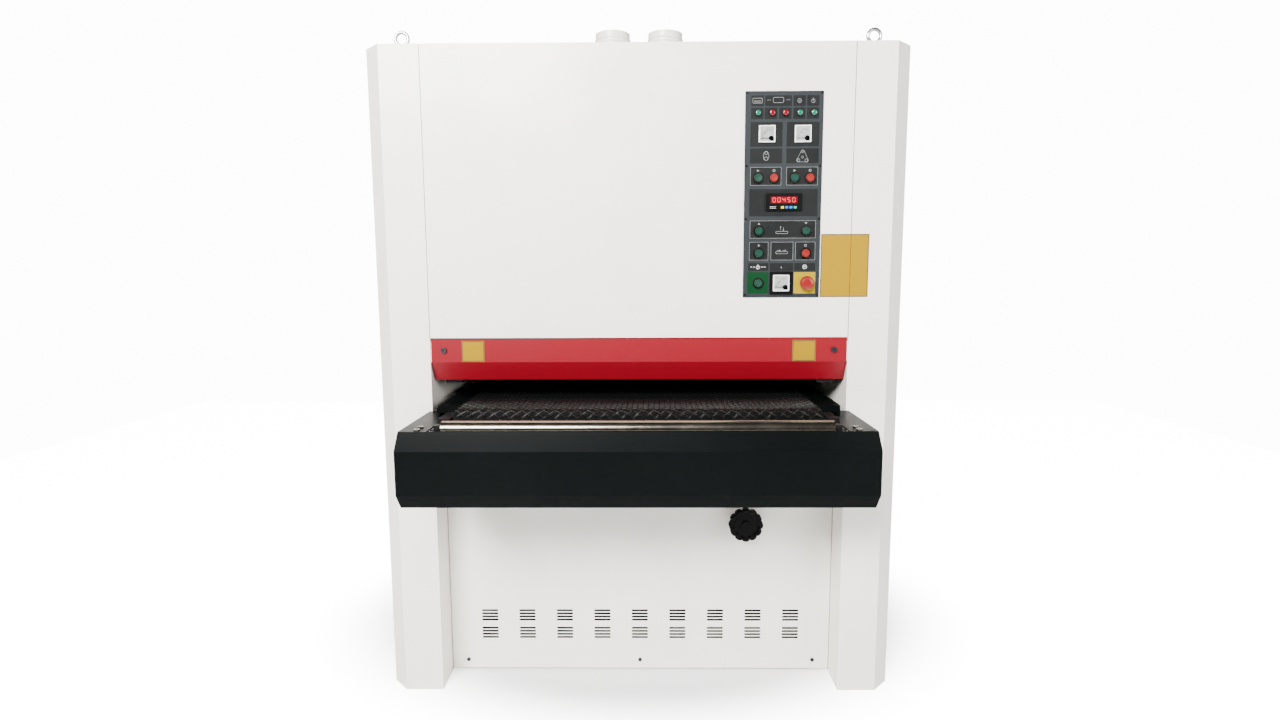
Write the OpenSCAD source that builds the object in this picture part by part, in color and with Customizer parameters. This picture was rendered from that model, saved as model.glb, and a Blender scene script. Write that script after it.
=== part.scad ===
// Wide belt sander: a sheet steel cabinet with a drum head and a combination head over a rising feed table.
// Millimetres, Z up, origin on the floor under the middle of the machine, infeed side towards -Y.

/* [Cabinet] */
// Width of each side housing
housing_w = 165; // [150:5:220]
// Depth from the front to the rear column faces
cabinet_d = 1100; // [950:10:1300]
// Height of the cabinet without the dust outlets
cabinet_h = 1920; // [1700:10:2200]
// Clear space between the feed belt and a side housing
bay_clear = 110; // [108:2:130]
// Depth of each corner column
column_d = 130; // [124:2:150]
// Bevel along the outer corner of each column
column_bevel = 50; // [20:2:60]
// Thickness of the folded cover sheets
sheet_t = 3; // [2:0.5:4]
// Thickness of the machined plates on the inner side of the housings
side_plate_t = 12; // [8:1:16]
// How far the lower panels stand back from the column faces
panel_recess = 112; // [60:2:118]
// Gap left between neighbouring sheets
panel_gap = 2; // [1:0.5:4]
// Depth of the folded edge on the panels and doors
fold_w = 20; // [12:1:30]
// Gap between the lower panels and the conveyor at the table's lowest place
lower_panel_clear = 25; // [10:5:80]
// Gap under the lower panels
floor_gap = 7; // [4:1:20]

/* [Infeed guard] */
// Opening from the feed belt at rest to the guard's lower edge
guard_gap = 55; // [52:1:70]
// Height of the guard's slanted part
guard_lower_h = 56; // [40:1:80]
// Height of the guard's upright part
guard_upper_h = 70; // [50:1:100]
// How far the lower part of the guard slants back
guard_slant = 30; // [10:1:32]
// Depth of the lip along the guard's lower edge
guard_lip = 12; // [6:1:14]
// Bore of the guard's two fixing screws
guard_screw_d = 11; // [8:0.5:14]

/* [Louvres] */
// Groups of slots across a lower panel
louvre_groups = 9; // [3:1:9]
// Rows of groups
louvre_rows = 2; // [1:1:3]
// Slots in a group
louvre_slots = 4; // [2:1:4]
// Length of a slot
slot_w = 52; // [30:1:70]
// Height of a slot
slot_h = 4.5; // [3:0.5:7]
// Distance from slot to slot
slot_pitch = 10.5; // [8:0.5:12]
// Distance from the bay's side to the middle of the outermost group
louvre_margin = 126; // [60:1:200]
// Distance from row to row
row_pitch = 59.5; // [48:0.5:80]
// Height of the middle of the slot field
louvre_z = 158; // [140:1:200]

/* [Feed table] */
// Height of the feed belt's upper face at rest
feed_top = 914; // [850:1:1000]
// Working width, which is the width of the feed belt
feed_belt_w = 1000; // [850:10:1300]
// Thickness of the feed belt
feed_belt_t = 4; // [2:0.5:6]
// Radius round the conveyor rollers, belt included
conveyor_r = 62; // [56:1:64]
// Distance of the conveyor rollers' axes from the face of an apron
conveyor_inset = 152; // [148:1:165]
// Radius of the chrome guide rollers
guide_r = 22; // [16:1:24]
// Distance of the guide rollers' axes from the face of an apron
guide_inset = 39; // [36:1:44]
// How far a guide roller reaches past the feed belt at each end
guide_over = 8; // [0:1:10]
// Wall of the table's side beams and cross members
beam_wall = 8; // [5:1:10]
// Thickness of the table bed
bed_t = 12; // [8:1:16]
// Width of the table's side beams
beam_w = 60; // [50:2:66]
// Depth of the table's side beams
beam_h = 95; // [80:1:100]
// Travel of the table above its rest height
lift_up = 42; // [30:1:44]
// Travel of the table below its rest height
lift_down = 65; // [50:1:70]

/* [Aprons] */
// Drop from the feed belt to the top of the aprons
apron_drop = 34; // [30:1:44]
// Height of the sloping band above the upright face
apron_slope_h = 50; // [35:1:65]
// Height of the upright face
apron_face_h = 116; // [90:1:130]
// Height of the sloping band below the upright face
apron_foot_h = 36; // [20:1:50]
// How far the aprons stand out from the column faces
apron_out = 293; // [288:1:340]
// Setback of the sloping bands from the upright face
apron_bevel = 13; // [6:1:20]
// How far an apron reaches past the bay's side at each end
apron_over = 15; // [10:1:40]
// Setback of the sloping bands at the ends of an apron
apron_end_bevel = 8; // [4:1:14]
// Sheet thickness of the aprons
apron_t = 2.5; // [2:0.5:4]

/* [Sanding heads] */
// Radius of the rubber-covered contact drum
drum_r = 100; // [90:1:110]
// Distance from the front column faces to the contact drum's axis
drum_inset = 320; // [300:5:340]
// How far the drums and rollers reach past the feed belt at each end
drum_over = 20; // [16:1:22]
// How far the abrasive belts reach past the feed belt at each side
abrasive_over = 10; // [0:1:14]
// Thickness of the abrasive belts
abrasive_t = 1.5; // [1:0.1:2]
// Radius of the upper tension rollers
tension_r = 60; // [50:1:65]
// Drop from the cabinet's top to the tension rollers' axes
tension_drop = 163; // [150:1:180]
// Radius of the combination head's contact roller
combi_r = 80; // [70:1:90]
// Distance from the rear column faces to the combination head's contact roller
combi_inset = 390; // [370:1:400]
// Radius of the combination head's idler
idler_r = 55; // [45:1:60]
// Distance from the rear column faces to the combination head's idler
idler_inset = 160; // [150:1:170]
// Width of the platen's felt and graphite face
platen_w = 60; // [40:1:80]
// Radius of the pressure rollers
pressure_r = 25; // [20:1:28]
// Distance from the column faces to the pressure rollers' axes
pressure_inset = 70; // [60:1:75]
// Depth of the head beams along the feed
head_beam_d = 90; // [70:2:110]
// Height of the head beams
head_beam_h = 120; // [100:2:140]
// Place of the head beams' lower side, as a share of the way from the board's top to the tension rollers
head_beam_share = 0.4656; // [0.44:0.01:0.48]
// Radius of the drum journals
journal_r = 25; // [20:1:28]
// Radial play of a journal in its bore
bore_play = 0.05; // [0.02:0.01:0.08]
// Gap between a belt and the roller inside it
belt_play = 0.3; // [0.2:0.05:0.4]

/* [Belt drives] */
// Radius of the main motors' stators
motor_r = 122; // [100:1:126]
// Length of the main motors' stators
motor_len = 330; // [260:5:360]
// Height of the motor shafts
motor_z = 222; // [215:1:235]
// Distance of the motor shafts from the middle of the machine
motor_y = 190; // [180:1:200]
// Cooling fins round each motor
motor_fins = 24; // [12:4:36]
// Radius of the motor pulleys
motor_pulley_r = 85; // [70:1:95]
// Radius of the drum pulleys
drum_pulley_r = 65; // [55:1:75]
// Width of the ribbed drive belts
drive_belt_w = 48; // [36:1:54]
// Thickness of the ribbed drive belts
drive_belt_t = 5; // [3:0.5:7]
// Radius of the motor shafts
motor_shaft_r = 20; // [15:1:22]

/* [Table lift] */
// Distance from the bay's side to the screw jacks
jack_inset_x = 65; // [62:1:68]
// Distance from the column faces to the screw jacks
jack_inset_y = 200; // [190:1:210]
// Drop from the feed belt to the seat of the jacks
jack_drop = 446; // [436:1:460]
// Size of a jack housing across and along
jack_w = 88; // [80:1:92]
// Height of a jack housing
jack_h = 80; // [70:1:90]
// Distance from a screw to its worm shaft
worm_offset = 32; // [30:1:34]
// Radius of the lift shafts
lift_shaft_r = 10; // [8:0.5:12]
// Radius of the lift screws
screw_r = 15; // [12:0.5:16]
// Place of the handwheel across the machine
handwheel_x = 330; // [280:5:360]
// Radius over the lobes of the handwheel
handwheel_r = 53; // [45:1:60]
// Thickness of the handwheel's rim
handwheel_t = 22; // [16:1:30]
// Lobes round the handwheel
handwheel_lobes = 12; // [8:1:14]
// Distance from the lower panel to the handwheel's back
handwheel_gap = 38; // [25:1:45]

/* [Control panel] */
// Distance from the bay's side to the control plate's middle
plate_inset = 198.5; // [170:0.5:240]
// How far the control plate's middle is below the middle of its panel
plate_drop = 8.5; // [-20:0.5:20]
// Width of the control plate
plate_w = 219; // [216:1:240]
// Height of the control plate as a share of its panel's height
plate_h_share = 0.6958; // [0.66:0.01:0.72]
// Thickness of the control plate
plate_t = 2.5; // [1.5:0.5:4]
// Radius of the push-button caps
button_r = 11; // [9:0.5:12]
// Width of the chrome rings round the buttons
bezel_w = 4.5; // [3:0.5:6]
// Travel of the push-buttons
button_travel = 4; // [2:0.5:5]
// Radius of the emergency stop's mushroom head
stop_r = 20; // [16:0.5:22]
// Radius of the pilot lamps
lamp_r = 8.5; // [6:0.5:10]
// Side of the square meters
meter_w = 46; // [40:1:50]
// Width of the digital readout
readout_w = 102; // [90:1:106]
// Height of the digital readout
readout_h = 48; // [40:1:52]

/* [Dust outlets and lifting eyes] */
// Radius of the dust outlets
outlet_r = 60; // [50:1:70]
// Wall of the dust outlets
outlet_wall = 2.5; // [1.5:0.5:4]
// Height of the dust outlets above the cabinet
outlet_h = 192; // [120:2:220]
// Distance of the dust outlets from the middle
outlet_x = 92; // [82:1:120]
// Radius over a lifting eye
eye_r = 23; // [20:0.5:26]
// Radius of the lifting eye's round bar
eye_bar_r = 5; // [4:0.5:6]
// Inset of the lifting eyes from the column faces
eye_inset_y = 40; // [35:1:60]
// Inset of the lifting eyes from the cabinet's sides
eye_inset_x = 107; // [90:1:120]

/* [Side doors] */
// Rise from the feed belt to the lower edge of the door openings
door_rise = 76; // [60:2:110]
// Gap between the door's top edge and the cabinet's top
door_drop = 70; // [60:2:100]
// Radius of the hinge knuckles
knuckle_r = 8; // [6:0.5:10]
// Radius of the hinge pins
hinge_pin_r = 4; // [3:0.5:5]
// Length of a hinge knuckle
knuckle_h = 45; // [30:1:60]
// Reach of the door handles
handle_reach = 32; // [26:1:40]

/* [Hidden] */
$fn = 48;
overrun = 1;
arc_step = 4;
bay_w = feed_belt_w + 2 * bay_clear;
cabinet_w = bay_w + 2 * housing_w;
half_w = cabinet_w / 2;
half_bay = bay_w / 2;
front_y = -cabinet_d / 2;
frame_h = cabinet_h - sheet_t;
guard_bottom = feed_top + guard_gap;
guard_crease = guard_bottom + guard_lower_h;
guard_top = guard_crease + guard_upper_h;
group_pitch = (bay_w - 2 * louvre_margin) / (louvre_groups - 1);
door_bottom = feed_top + door_rise;
housing_in = half_bay + side_plate_t;
column_back = front_y + column_d;
door_top = frame_h - door_drop;
fold_share = sqrt(2) - 1;
lower_face_y = front_y + panel_recess;
lower_panel_top = feed_top - 2 * conveyor_r - lift_down - lower_panel_clear;
seam = panel_gap / 2;

// Feet, rails and tabs
tab_w = 60;
tab_t = 10;
lug_w = 30;
lug_z = 36;
foot_t = 10;
jack_x = half_bay - jack_inset_x;
jack_y = -front_y - jack_inset_y;
jack_seat = feed_top - jack_drop;
anchor_r = 9;
anchor_x = half_bay + (half_w - half_bay) / 2;
anchor_y = -front_y - column_d / 2;
rail_w = 60;
beam_seat_h = 50;
rail_y = jack_y;
post_w = 50;
motor_rail_w = 60;

// Heads
pass_z = feed_top + lift_up + 2 * seam;
drum_len = feed_belt_w + 2 * drum_over;
abrasive_w = feed_belt_w + 2 * abrasive_over;
tension_z = cabinet_h - tension_drop;
head_beam_z = pass_z + head_beam_share * (tension_z - pass_z);
drum_y = front_y + drum_inset;
drum_z = pass_z + abrasive_t + belt_play + drum_r;
combi_y = -front_y - combi_inset;
combi_z = pass_z + abrasive_t + belt_play + combi_r;
idler_y = -front_y - idler_inset;
idler_z = pass_z + abrasive_t + belt_play + idler_r;
combi_tension_y = (combi_y + idler_y) / 2;
bearing_t = 24;
bearing_gap = 6;
bearing_x = drum_len / 2 + bearing_gap;
boss_r = journal_r + bearing_t;
yoke_h = 40;
yoke_t = 14;
stub_r = 12;
cylinder_r = 30;
lock_t = 18;
lock_h = 60;
platen_h = 70;
hanger_t = 12;
hanger_x = drum_len / 4;
pressure_y = -front_y - pressure_inset;
pressure_z = pass_z + pressure_r;
pressure_beam = 36;
pressure_len = drum_len + 20;
block_t = 50;

// Belt drives
pulley_gap = 20;
pulley_x = housing_in + pulley_gap;
flange_t = 4;
flange_rise = drive_belt_t + 3;
pulley_len = drive_belt_w + 2 * flange_t + 2;
motor_end_x = half_bay - post_w - 2 * panel_gap;
motor_cap = 30;
cowl_len = 70;
fin_h = 12;
fin_t = 4;
foot_len = 50;
foot_h = 16;
shaft_hole_play = 8;

// Feed table
apron_top = feed_top - apron_drop;
apron_crease = apron_top - apron_slope_h;
apron_face_bottom = apron_crease - apron_face_h;
apron_bottom = apron_face_bottom - apron_foot_h;
apron_reach = -front_y + apron_out;
apron_w = bay_w + 2 * apron_over;
conveyor_y = apron_reach - conveyor_inset;
guide_y = apron_reach - guide_inset;
guide_w = feed_belt_w + 2 * guide_over;
roller_z = feed_top - conveyor_r;
roller_r = conveyor_r - feed_belt_t - belt_play;
guide_z = apron_top + 2;
beam_x = feed_belt_w / 2 + 12;
beam_top = feed_top - feed_belt_t - belt_play - bed_t;
beam_bottom = beam_top - beam_h;
beam_end = conveyor_y - conveyor_r;
block_h = 80;
bracket_w = 32;
bracket_end = guide_y + guide_r / 2;
roller_journal_r = 17.5;
guide_journal_r = 8;
cross_h = 60;
cross_w = 70;
cross_count = 4;
screw_flange_r = 38;
screw_flange_t = 12;
gearmotor_w = 104;
gearmotor_x = apron_w / 2;
gearmotor_t = 120;
feed_motor_r = 58;
feed_motor_len = 210;
skirt_gap = 4;

// Lift
lift_z = jack_seat + jack_h / 2;
lift_y = jack_y + worm_offset;
bevel_w = 80;
lift_motor_r = 52;
lift_motor_x = -motor_end_x + motor_cap + motor_len + cowl_len + lift_motor_r + bearing_gap;
lift_motor_len = 190;
coupling_r = 22;
coupling_len = 46;
stub_depth = 18;
shaft_end = jack_x + jack_w / 2 + bearing_gap;

// Control panel
plate_x = half_bay - plate_inset;
plate_z = (guard_top + cabinet_h) / 2 - plate_drop;
plate_h = plate_h_share * (cabinet_h - guard_top);
plate_y = front_y - plate_t;
cap_len = 14;
cap_proud = 8;
ring_t = 5;
barrel_len = 30;
barrel_wall = 2;
ring_r = button_r + bezel_w;
slot_play = 0.3;
stop_neck_r = 9;
stop_h = 14;
stop_lift = 10;
dish_r = 4 * button_r;
// Section of the mushroom head, from its foot to its crown
stop_shares = [[0, 0], [0.8, 0], [1, 0.3], [1, 0.6], [0.85, 0.9], [0.5, 1], [0, 1]];
// Window of the readout and the lobes of the handwheel
window_w_share = 0.75;
window_h_share = 0.4;
window_up_share = 0.125;
lobe_share = 0.17;
meter_proud = 4;
meter_depth = 40;
meter_rim = 3;
meter_recess = 3;
needle_len = 30;
needle_w = 1.6;
needle_t = 0.8;
needle_hub_r = 3;
needle_pin_r = 1.2;
pivot_in = 12;
readout_proud = 6;
readout_depth = 60;
key_w = 9;
key_h = 7.5;
plate_screw_r = 2.5;

// Places on the control plate as shares of its half width and half height, from its middle
row_lamps_share = 0.793;
row_meters_share = 0.595;
row_drive_share = 0.174;
row_readout_share = -0.061;
row_lift_share = -0.341;
row_feed_share = -0.561;
row_power_share = -0.857;
lamp_shares = [-0.673, -0.31, 0.03, 0.395, 0.755];
meter_shares = [-0.435, 0.487];
drive_shares = [-0.646, -0.241, 0.293, 0.69];
outer_shares = [-0.605, 0.62];
stop_share = 0.65;
readout_share = 0.029;
screw_row_shares = [0.984, 0.29, -0.224, -0.972];
screw_side_share = 0.945;

function plate_place(sx, sz) = [plate_x + sx * plate_w / 2, plate_z + sz * plate_h / 2];

drum_start_at = plate_place(drive_shares[0], row_drive_share);
drum_stop_at = plate_place(drive_shares[1], row_drive_share);
combi_start_at = plate_place(drive_shares[2], row_drive_share);
combi_stop_at = plate_place(drive_shares[3], row_drive_share);
table_up_at = plate_place(outer_shares[0], row_lift_share);
table_down_at = plate_place(outer_shares[1], row_lift_share);
feed_start_at = plate_place(outer_shares[0], row_feed_share);
feed_stop_at = plate_place(outer_shares[1], row_feed_share);
power_at = plate_place(outer_shares[0], row_power_share);
stop_at = plate_place(stop_share, row_power_share);
button_places = [drum_start_at, drum_stop_at, combi_start_at, combi_stop_at, table_up_at,
    table_down_at, feed_start_at, feed_stop_at, power_at];
drum_meter_at = plate_place(meter_shares[0], row_meters_share);
combi_meter_at = plate_place(meter_shares[1], row_meters_share);
volt_meter_at = plate_place(0, row_power_share);
meter_places = [drum_meter_at, combi_meter_at, volt_meter_at];
readout_at = plate_place(readout_share, row_readout_share);

// Eyes, outlets, doors
eye_x = half_w - eye_inset_x;
eye_y = -front_y - eye_inset_y;
eye_base_h = 6;
eye_base_r = 15;
eye_z = cabinet_h + eye_base_h + eye_r - eye_bar_r;
outlet_flange_w = 14;
outlet_in = 50;
hinge_x = half_w + knuckle_r;
hinge_y = -front_y - column_d;
hinge_share = 0.16;
leaf_w = 28;
leaf_t = 3;
handle_r = 6;
handle_h = 120;

paint = "ivory";
dark_paint = "darkslategray";
bare_steel = "silver";

// Shapes that more than one piece uses

// A cylinder along X that starts at x
module along_x(x, y, z, r, len) {
    translate([x, y, z]) rotate([0, 90, 0]) cylinder(r = r, h = len);
}

// A cylinder along Y that starts at y
module along_y(x, y, z, r, len) {
    translate([x, y, z]) rotate([-90, 0, 0]) cylinder(r = r, h = len);
}

// A cylinder along X over the middle of the machine
module across(y, z, r, len) {
    along_x(-len / 2, y, z, r, len);
}

// A profile drawn in Y and Z, pulled along X over the middle of the machine
module pull_x(len) {
    translate([-len / 2, 0, 0]) rotate([90, 0, 90]) linear_extrude(len) children();
}

// A profile drawn in X and Z, pulled along Y from y
module pull_y(y, len) {
    translate([0, y + len, 0]) rotate([90, 0, 0]) linear_extrude(len) children();
}

// A box between two corners
module block(low, high) {
    translate(low) cube(high - low);
}

module mirrored(direction) {
    children();
    mirror(direction) children();
}

// Belts run round wheels listed anticlockwise as [y, z, r]
// Direction in which the run from wheel a to wheel b faces outwards
function run_facing(a, b) = atan2(b[1] - a[1], b[0] - a[0]) - 90
    - asin((b[2] - a[2]) / norm([b[0] - a[0], b[1] - a[1]]));

// Points of a belt's side at distance grow from its wheels: an arc on each wheel, joined by the straight runs
function belt_side(wheels, grow) = let (n = len(wheels)) [for (i = [0 : n - 1])
    let (here = wheels[i], from = run_facing(wheels[(i + n - 1) % n], here),
        turned = run_facing(here, wheels[(i + 1) % n]) - from,
        wrap = turned - 360 * floor(turned / 360), steps = ceil(wrap / arc_step))
    for (k = [0 : steps]) let (turn = from + k * wrap / steps)
        [here[0] + (here[2] + grow) * cos(turn), here[1] + (here[2] + grow) * sin(turn)]];

// A belt of width w and thickness t
module belt_loop(wheels, play, t, w) {
    pull_x(w) difference() {
        polygon(belt_side(wheels, play + t));
        polygon(belt_side(wheels, play));
    }
}

// A sheet with its four edges folded back, front face at y and folded towards +Y
module folded_panel(x0, x1, z0, z1, y) {
    difference() {
        block([x0, y, z0], [x1, y + fold_w, z1]);
        block([x0 + sheet_t, y + sheet_t, z0 + sheet_t], [x1 - sheet_t, y + fold_w + overrun, z1 - sheet_t]);
    }
}

// Cabinet

// Plan of a front column; inside is the same shape one sheet smaller
function column_plan(t, inner_x) = [
    [inner_x, front_y + t],
    [half_w - column_bevel - t * fold_share, front_y + t],
    [half_w - t, front_y + column_bevel + t * fold_share],
    [half_w - t, column_back - t],
    [inner_x, column_back - t]];

module column() {
    difference() {
        linear_extrude(frame_h) polygon(column_plan(0, half_bay));
        translate([0, 0, foot_t]) linear_extrude(frame_h) polygon(column_plan(sheet_t, housing_in));
        translate([anchor_x, -anchor_y, -overrun]) cylinder(r = anchor_r, h = foot_t + 2 * overrun);
    }
}

module hinge_knuckle(z, pinned) {
    difference() {
        union() {
            translate([hinge_x, hinge_y, z]) cylinder(r = knuckle_r, h = knuckle_h);
            if (pinned) translate([hinge_x, hinge_y, z]) cylinder(r = hinge_pin_r, h = 2 * knuckle_h);
        }
        if (!pinned) translate([hinge_x, hinge_y, z - overrun])
            cylinder(r = hinge_pin_r + bore_play, h = knuckle_h + 2 * overrun);
    }
}

function hinge_heights() = [
    door_bottom + hinge_share * (door_top - door_bottom),
    door_top - hinge_share * (door_top - door_bottom)];

module side_frame() {
    column();
    // Tab behind the guard's fixing screw
    block([half_bay - tab_w, front_y + sheet_t, guard_crease],
        [half_bay, front_y + sheet_t + tab_t, guard_top - tab_t]);
    mirror([0, 1, 0]) column();
    block([half_bay, column_back, 0], [housing_in, -column_back, frame_h]);
    block([half_w - sheet_t, column_back, 0], [half_w, -column_back, door_bottom]);
    block([half_w - 2 * fold_w, column_back, door_bottom - fold_w],
        [half_w, -column_back, door_bottom - fold_w + sheet_t]);
    block([half_w - sheet_t, column_back, door_top], [half_w, -column_back, frame_h]);
    block([housing_in, column_back, 0], [half_w, -column_back, foot_t]);
    for (z = hinge_heights()) {
        hinge_knuckle(z, true);
        block([half_w, hinge_y + panel_gap, z], [half_w + leaf_t, hinge_y + leaf_w, z + knuckle_h]);
        block([half_w, hinge_y, z], [hinge_x, hinge_y + knuckle_r, z + knuckle_h]);
    }
}

module side_frames() {
    color(paint) {
        // Right: a large window in the machined plate lets the abrasive belts slide out
        difference() {
            side_frame();
            block([half_bay - overrun, column_back + fold_w, door_bottom],
                [housing_in + overrun, -column_back - fold_w, door_top]);
        }
        // Left: the plate is bored for the drum journals and the motor shafts
        difference() {
            mirror([1, 0, 0]) side_frame();
            for (at = [[drum_y, drum_z], [combi_y, combi_z]])
                along_x(-housing_in - overrun, at[0], at[1], journal_r + shaft_hole_play,
                    side_plate_t + 2 * overrun);
            for (y = [-motor_y, motor_y])
                along_x(-housing_in - overrun, y, motor_z, motor_shaft_r + shaft_hole_play,
                    side_plate_t + 2 * overrun);
        }
    }
}

module base_frame() {
    color(paint) difference() {
        union() {
            mirrored([0, 1, 0]) {
                block([-half_bay, -rail_y - rail_w / 2, 0], [half_bay, -rail_y + rail_w / 2, rail_w]);
                block([-half_bay, -rail_y - rail_w / 2, jack_seat - beam_seat_h],
                    [half_bay, -rail_y + rail_w / 2, jack_seat]);
                mirrored([1, 0, 0]) block([half_bay - post_w, -rail_y - rail_w / 2, 0],
                    [half_bay, -rail_y + rail_w / 2, jack_seat]);
            }
            mirrored([1, 0, 0]) block([half_bay - rail_w, -rail_y, 0], [half_bay, rail_y, rail_w]);
            // Lugs behind the lower panels' fixing screws
            mirrored([0, 1, 0]) for (x = [-half_bay + lug_w + fold_w, 0, half_bay - lug_w - fold_w])
                block([x - lug_w / 2, lower_face_y + sheet_t, lug_z - lug_w / 2],
                    [x + lug_w / 2, -rail_y, lug_z + lug_w / 2]);
            for (x = motor_foot_xs()) block([x - motor_rail_w / 2, -rail_y, 0],
                [x + motor_rail_w / 2, rail_y, rail_w]);
        }
        // Holes that let the lift screws down past the beams
        for (x = [-jack_x, jack_x], y = [-jack_y, jack_y])
            translate([x, y, rail_w]) cylinder(r = screw_r + 2 * panel_gap, h = jack_seat);
    }
}

module top_cover() {
    color(paint) difference() {
        translate([0, 0, frame_h]) linear_extrude(sheet_t) polygon([
            [-half_w + column_bevel, front_y], [half_w - column_bevel, front_y],
            [half_w, front_y + column_bevel], [half_w, -front_y - column_bevel],
            [half_w - column_bevel, -front_y], [-half_w + column_bevel, -front_y],
            [-half_w, -front_y - column_bevel], [-half_w, front_y + column_bevel]]);
        for (x = [-outlet_x, outlet_x]) translate([x, 0, frame_h - overrun])
            cylinder(r = outlet_r, h = sheet_t + 2 * overrun);
        for (x = [-eye_x, eye_x], y = [-eye_y, eye_y]) translate([x, y, frame_h - overrun])
            cylinder(r = eye_bar_r + bore_play, h = sheet_t + 2 * overrun);
    }
}

module upper_front_panel() {
    color(paint) difference() {
        folded_panel(-half_bay + seam, half_bay - seam, guard_top + seam, frame_h, front_y);
        // Cut-out behind the control plate
        block([plate_x - plate_w / 2 + meter_rim * 2, front_y - overrun,
            plate_z - plate_h / 2 + meter_rim * 2],
            [plate_x + plate_w / 2 - meter_rim * 2, front_y + sheet_t + overrun,
                plate_z + plate_h / 2 - meter_rim * 2]);
    }
}

// One slot with round ends
module slot_shape() {
    square([slot_w - slot_h, slot_h], center = true);
    for (x = [-(slot_w - slot_h) / 2, (slot_w - slot_h) / 2]) translate([x, 0]) circle(d = slot_h);
}

module louvre_field() {
    for (g = [0 : louvre_groups - 1], r = [0 : louvre_rows - 1], s = [0 : louvre_slots - 1])
        translate([(g - (louvre_groups - 1) / 2) * group_pitch,
            louvre_z + (r - (louvre_rows - 1) / 2) * row_pitch + (s - (louvre_slots - 1) / 2) * slot_pitch])
            slot_shape();
}

module lower_panel() {
    difference() {
        folded_panel(-half_bay + seam, half_bay - seam, floor_gap, lower_panel_top, lower_face_y);
        pull_y(lower_face_y - overrun, sheet_t + 2 * overrun) louvre_field();
    }
}

module lower_front_panel() {
    color(paint) difference() {
        lower_panel();
        along_y(handwheel_x, lower_face_y - overrun, lift_z, lift_shaft_r + panel_gap, sheet_t + 2 * overrun);
    }
}

// Outline of the guard, seen from the side
function guard_side() = [
    [front_y, guard_top - seam], [front_y, guard_crease],
    [front_y + guard_slant, guard_bottom], [front_y + guard_slant + guard_lip, guard_bottom],
    [front_y + guard_slant + guard_lip, guard_top - seam]];

// The hollow behind the sheet, open to the back, with a lip along the lower edge
function guard_inside() = [
    [front_y + sheet_t, guard_top - seam - sheet_t], [front_y + sheet_t, guard_crease],
    [front_y + guard_slant + sheet_t, guard_bottom + sheet_t],
    [front_y + guard_slant + guard_lip + overrun, guard_bottom + sheet_t],
    [front_y + guard_slant + guard_lip + overrun, guard_top - seam - sheet_t]];

module front_guard() {
    color("crimson") difference() {
        pull_x(2 * (half_bay - sheet_t)) polygon(guard_side());
        pull_x(2 * half_bay) polygon(guard_inside());
        for (x = [-half_bay + 2 * fold_w, half_bay - 2 * fold_w])
            along_y(x, front_y - overrun, (guard_crease + guard_top) / 2, guard_screw_d / 2,
                sheet_t + 2 * overrun);
    }
}

module rear_panels() {
    color(paint) mirror([0, 1, 0]) {
        folded_panel(-half_bay + seam, half_bay - seam, guard_bottom, frame_h, front_y);
        lower_panel();
    }
}

module dust_outlets() {
    color(paint) for (x = [-outlet_x, outlet_x]) translate([x, 0, 0]) difference() {
        union() {
            translate([0, 0, cabinet_h]) cylinder(r = outlet_r, h = outlet_h);
            translate([0, 0, cabinet_h]) cylinder(r = outlet_r + outlet_flange_w, h = sheet_t);
            translate([0, 0, cabinet_h - outlet_in]) cylinder(r = outlet_r - bore_play, h = outlet_in);
        }
        translate([0, 0, cabinet_h - outlet_in - overrun])
            cylinder(r = outlet_r - outlet_wall, h = outlet_in + outlet_h + 2 * overrun);
    }
}

module lifting_eyes() {
    color(bare_steel) for (x = [-eye_x, eye_x], y = [-eye_y, eye_y]) translate([x, y, 0]) {
        translate([0, 0, eye_z]) rotate([90, 0, 0]) rotate_extrude()
            translate([eye_r - eye_bar_r, 0]) circle(r = eye_bar_r);
        translate([0, 0, cabinet_h]) cylinder(r = eye_base_r, h = eye_base_h);
        translate([0, 0, frame_h]) cylinder(r = eye_bar_r, h = sheet_t + eye_base_h);
    }
}

// Control panel

module control_panel() {
    color("gray") difference() {
        pull_y(plate_y, plate_t) translate([plate_x, plate_z]) square([plate_w, plate_h], center = true);
        for (at = button_places)
            along_y(at[0], plate_y - overrun, at[1], button_r + barrel_wall + slot_play,
                plate_t + 2 * overrun);
        along_y(stop_at[0], plate_y - overrun, stop_at[1], button_r + barrel_wall + slot_play,
            plate_t + 2 * overrun);
        for (share = lamp_shares) let (at = plate_place(share, row_lamps_share))
            along_y(at[0], plate_y - overrun, at[1], lamp_r - meter_rim / 2, plate_t + 2 * overrun);
        for (at = meter_places) pull_y(plate_y - overrun, plate_t + 2 * overrun) translate(at)
            square(meter_w - meter_rim + 2 * slot_play, center = true);
        pull_y(plate_y - overrun, plate_t + 2 * overrun) translate(readout_at)
            square([readout_w - meter_rim + 2 * slot_play, readout_h - meter_rim + 2 * slot_play],
                center = true);
        for (share = screw_row_shares, side = [-screw_side_share, screw_side_share])
            let (at = plate_place(side, share))
            along_y(at[0], plate_y - overrun, at[1], plate_screw_r, plate_t + 2 * overrun);
    }
}

module meter_cases() {
    color("whitesmoke") for (at = meter_places) difference() {
        union() {
            pull_y(plate_y - meter_proud, meter_proud) translate(at) square(meter_w, center = true);
            pull_y(plate_y, meter_depth) translate(at) square(meter_w - meter_rim, center = true);
        }
        pull_y(plate_y - meter_proud - overrun, meter_recess + overrun) translate(at)
            square(meter_w - 2 * meter_rim, center = true);
        along_y(at[0] + pivot_in, plate_y - overrun, at[1] - pivot_in, needle_pin_r + bore_play,
            meter_depth / 2);
    }
}

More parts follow.
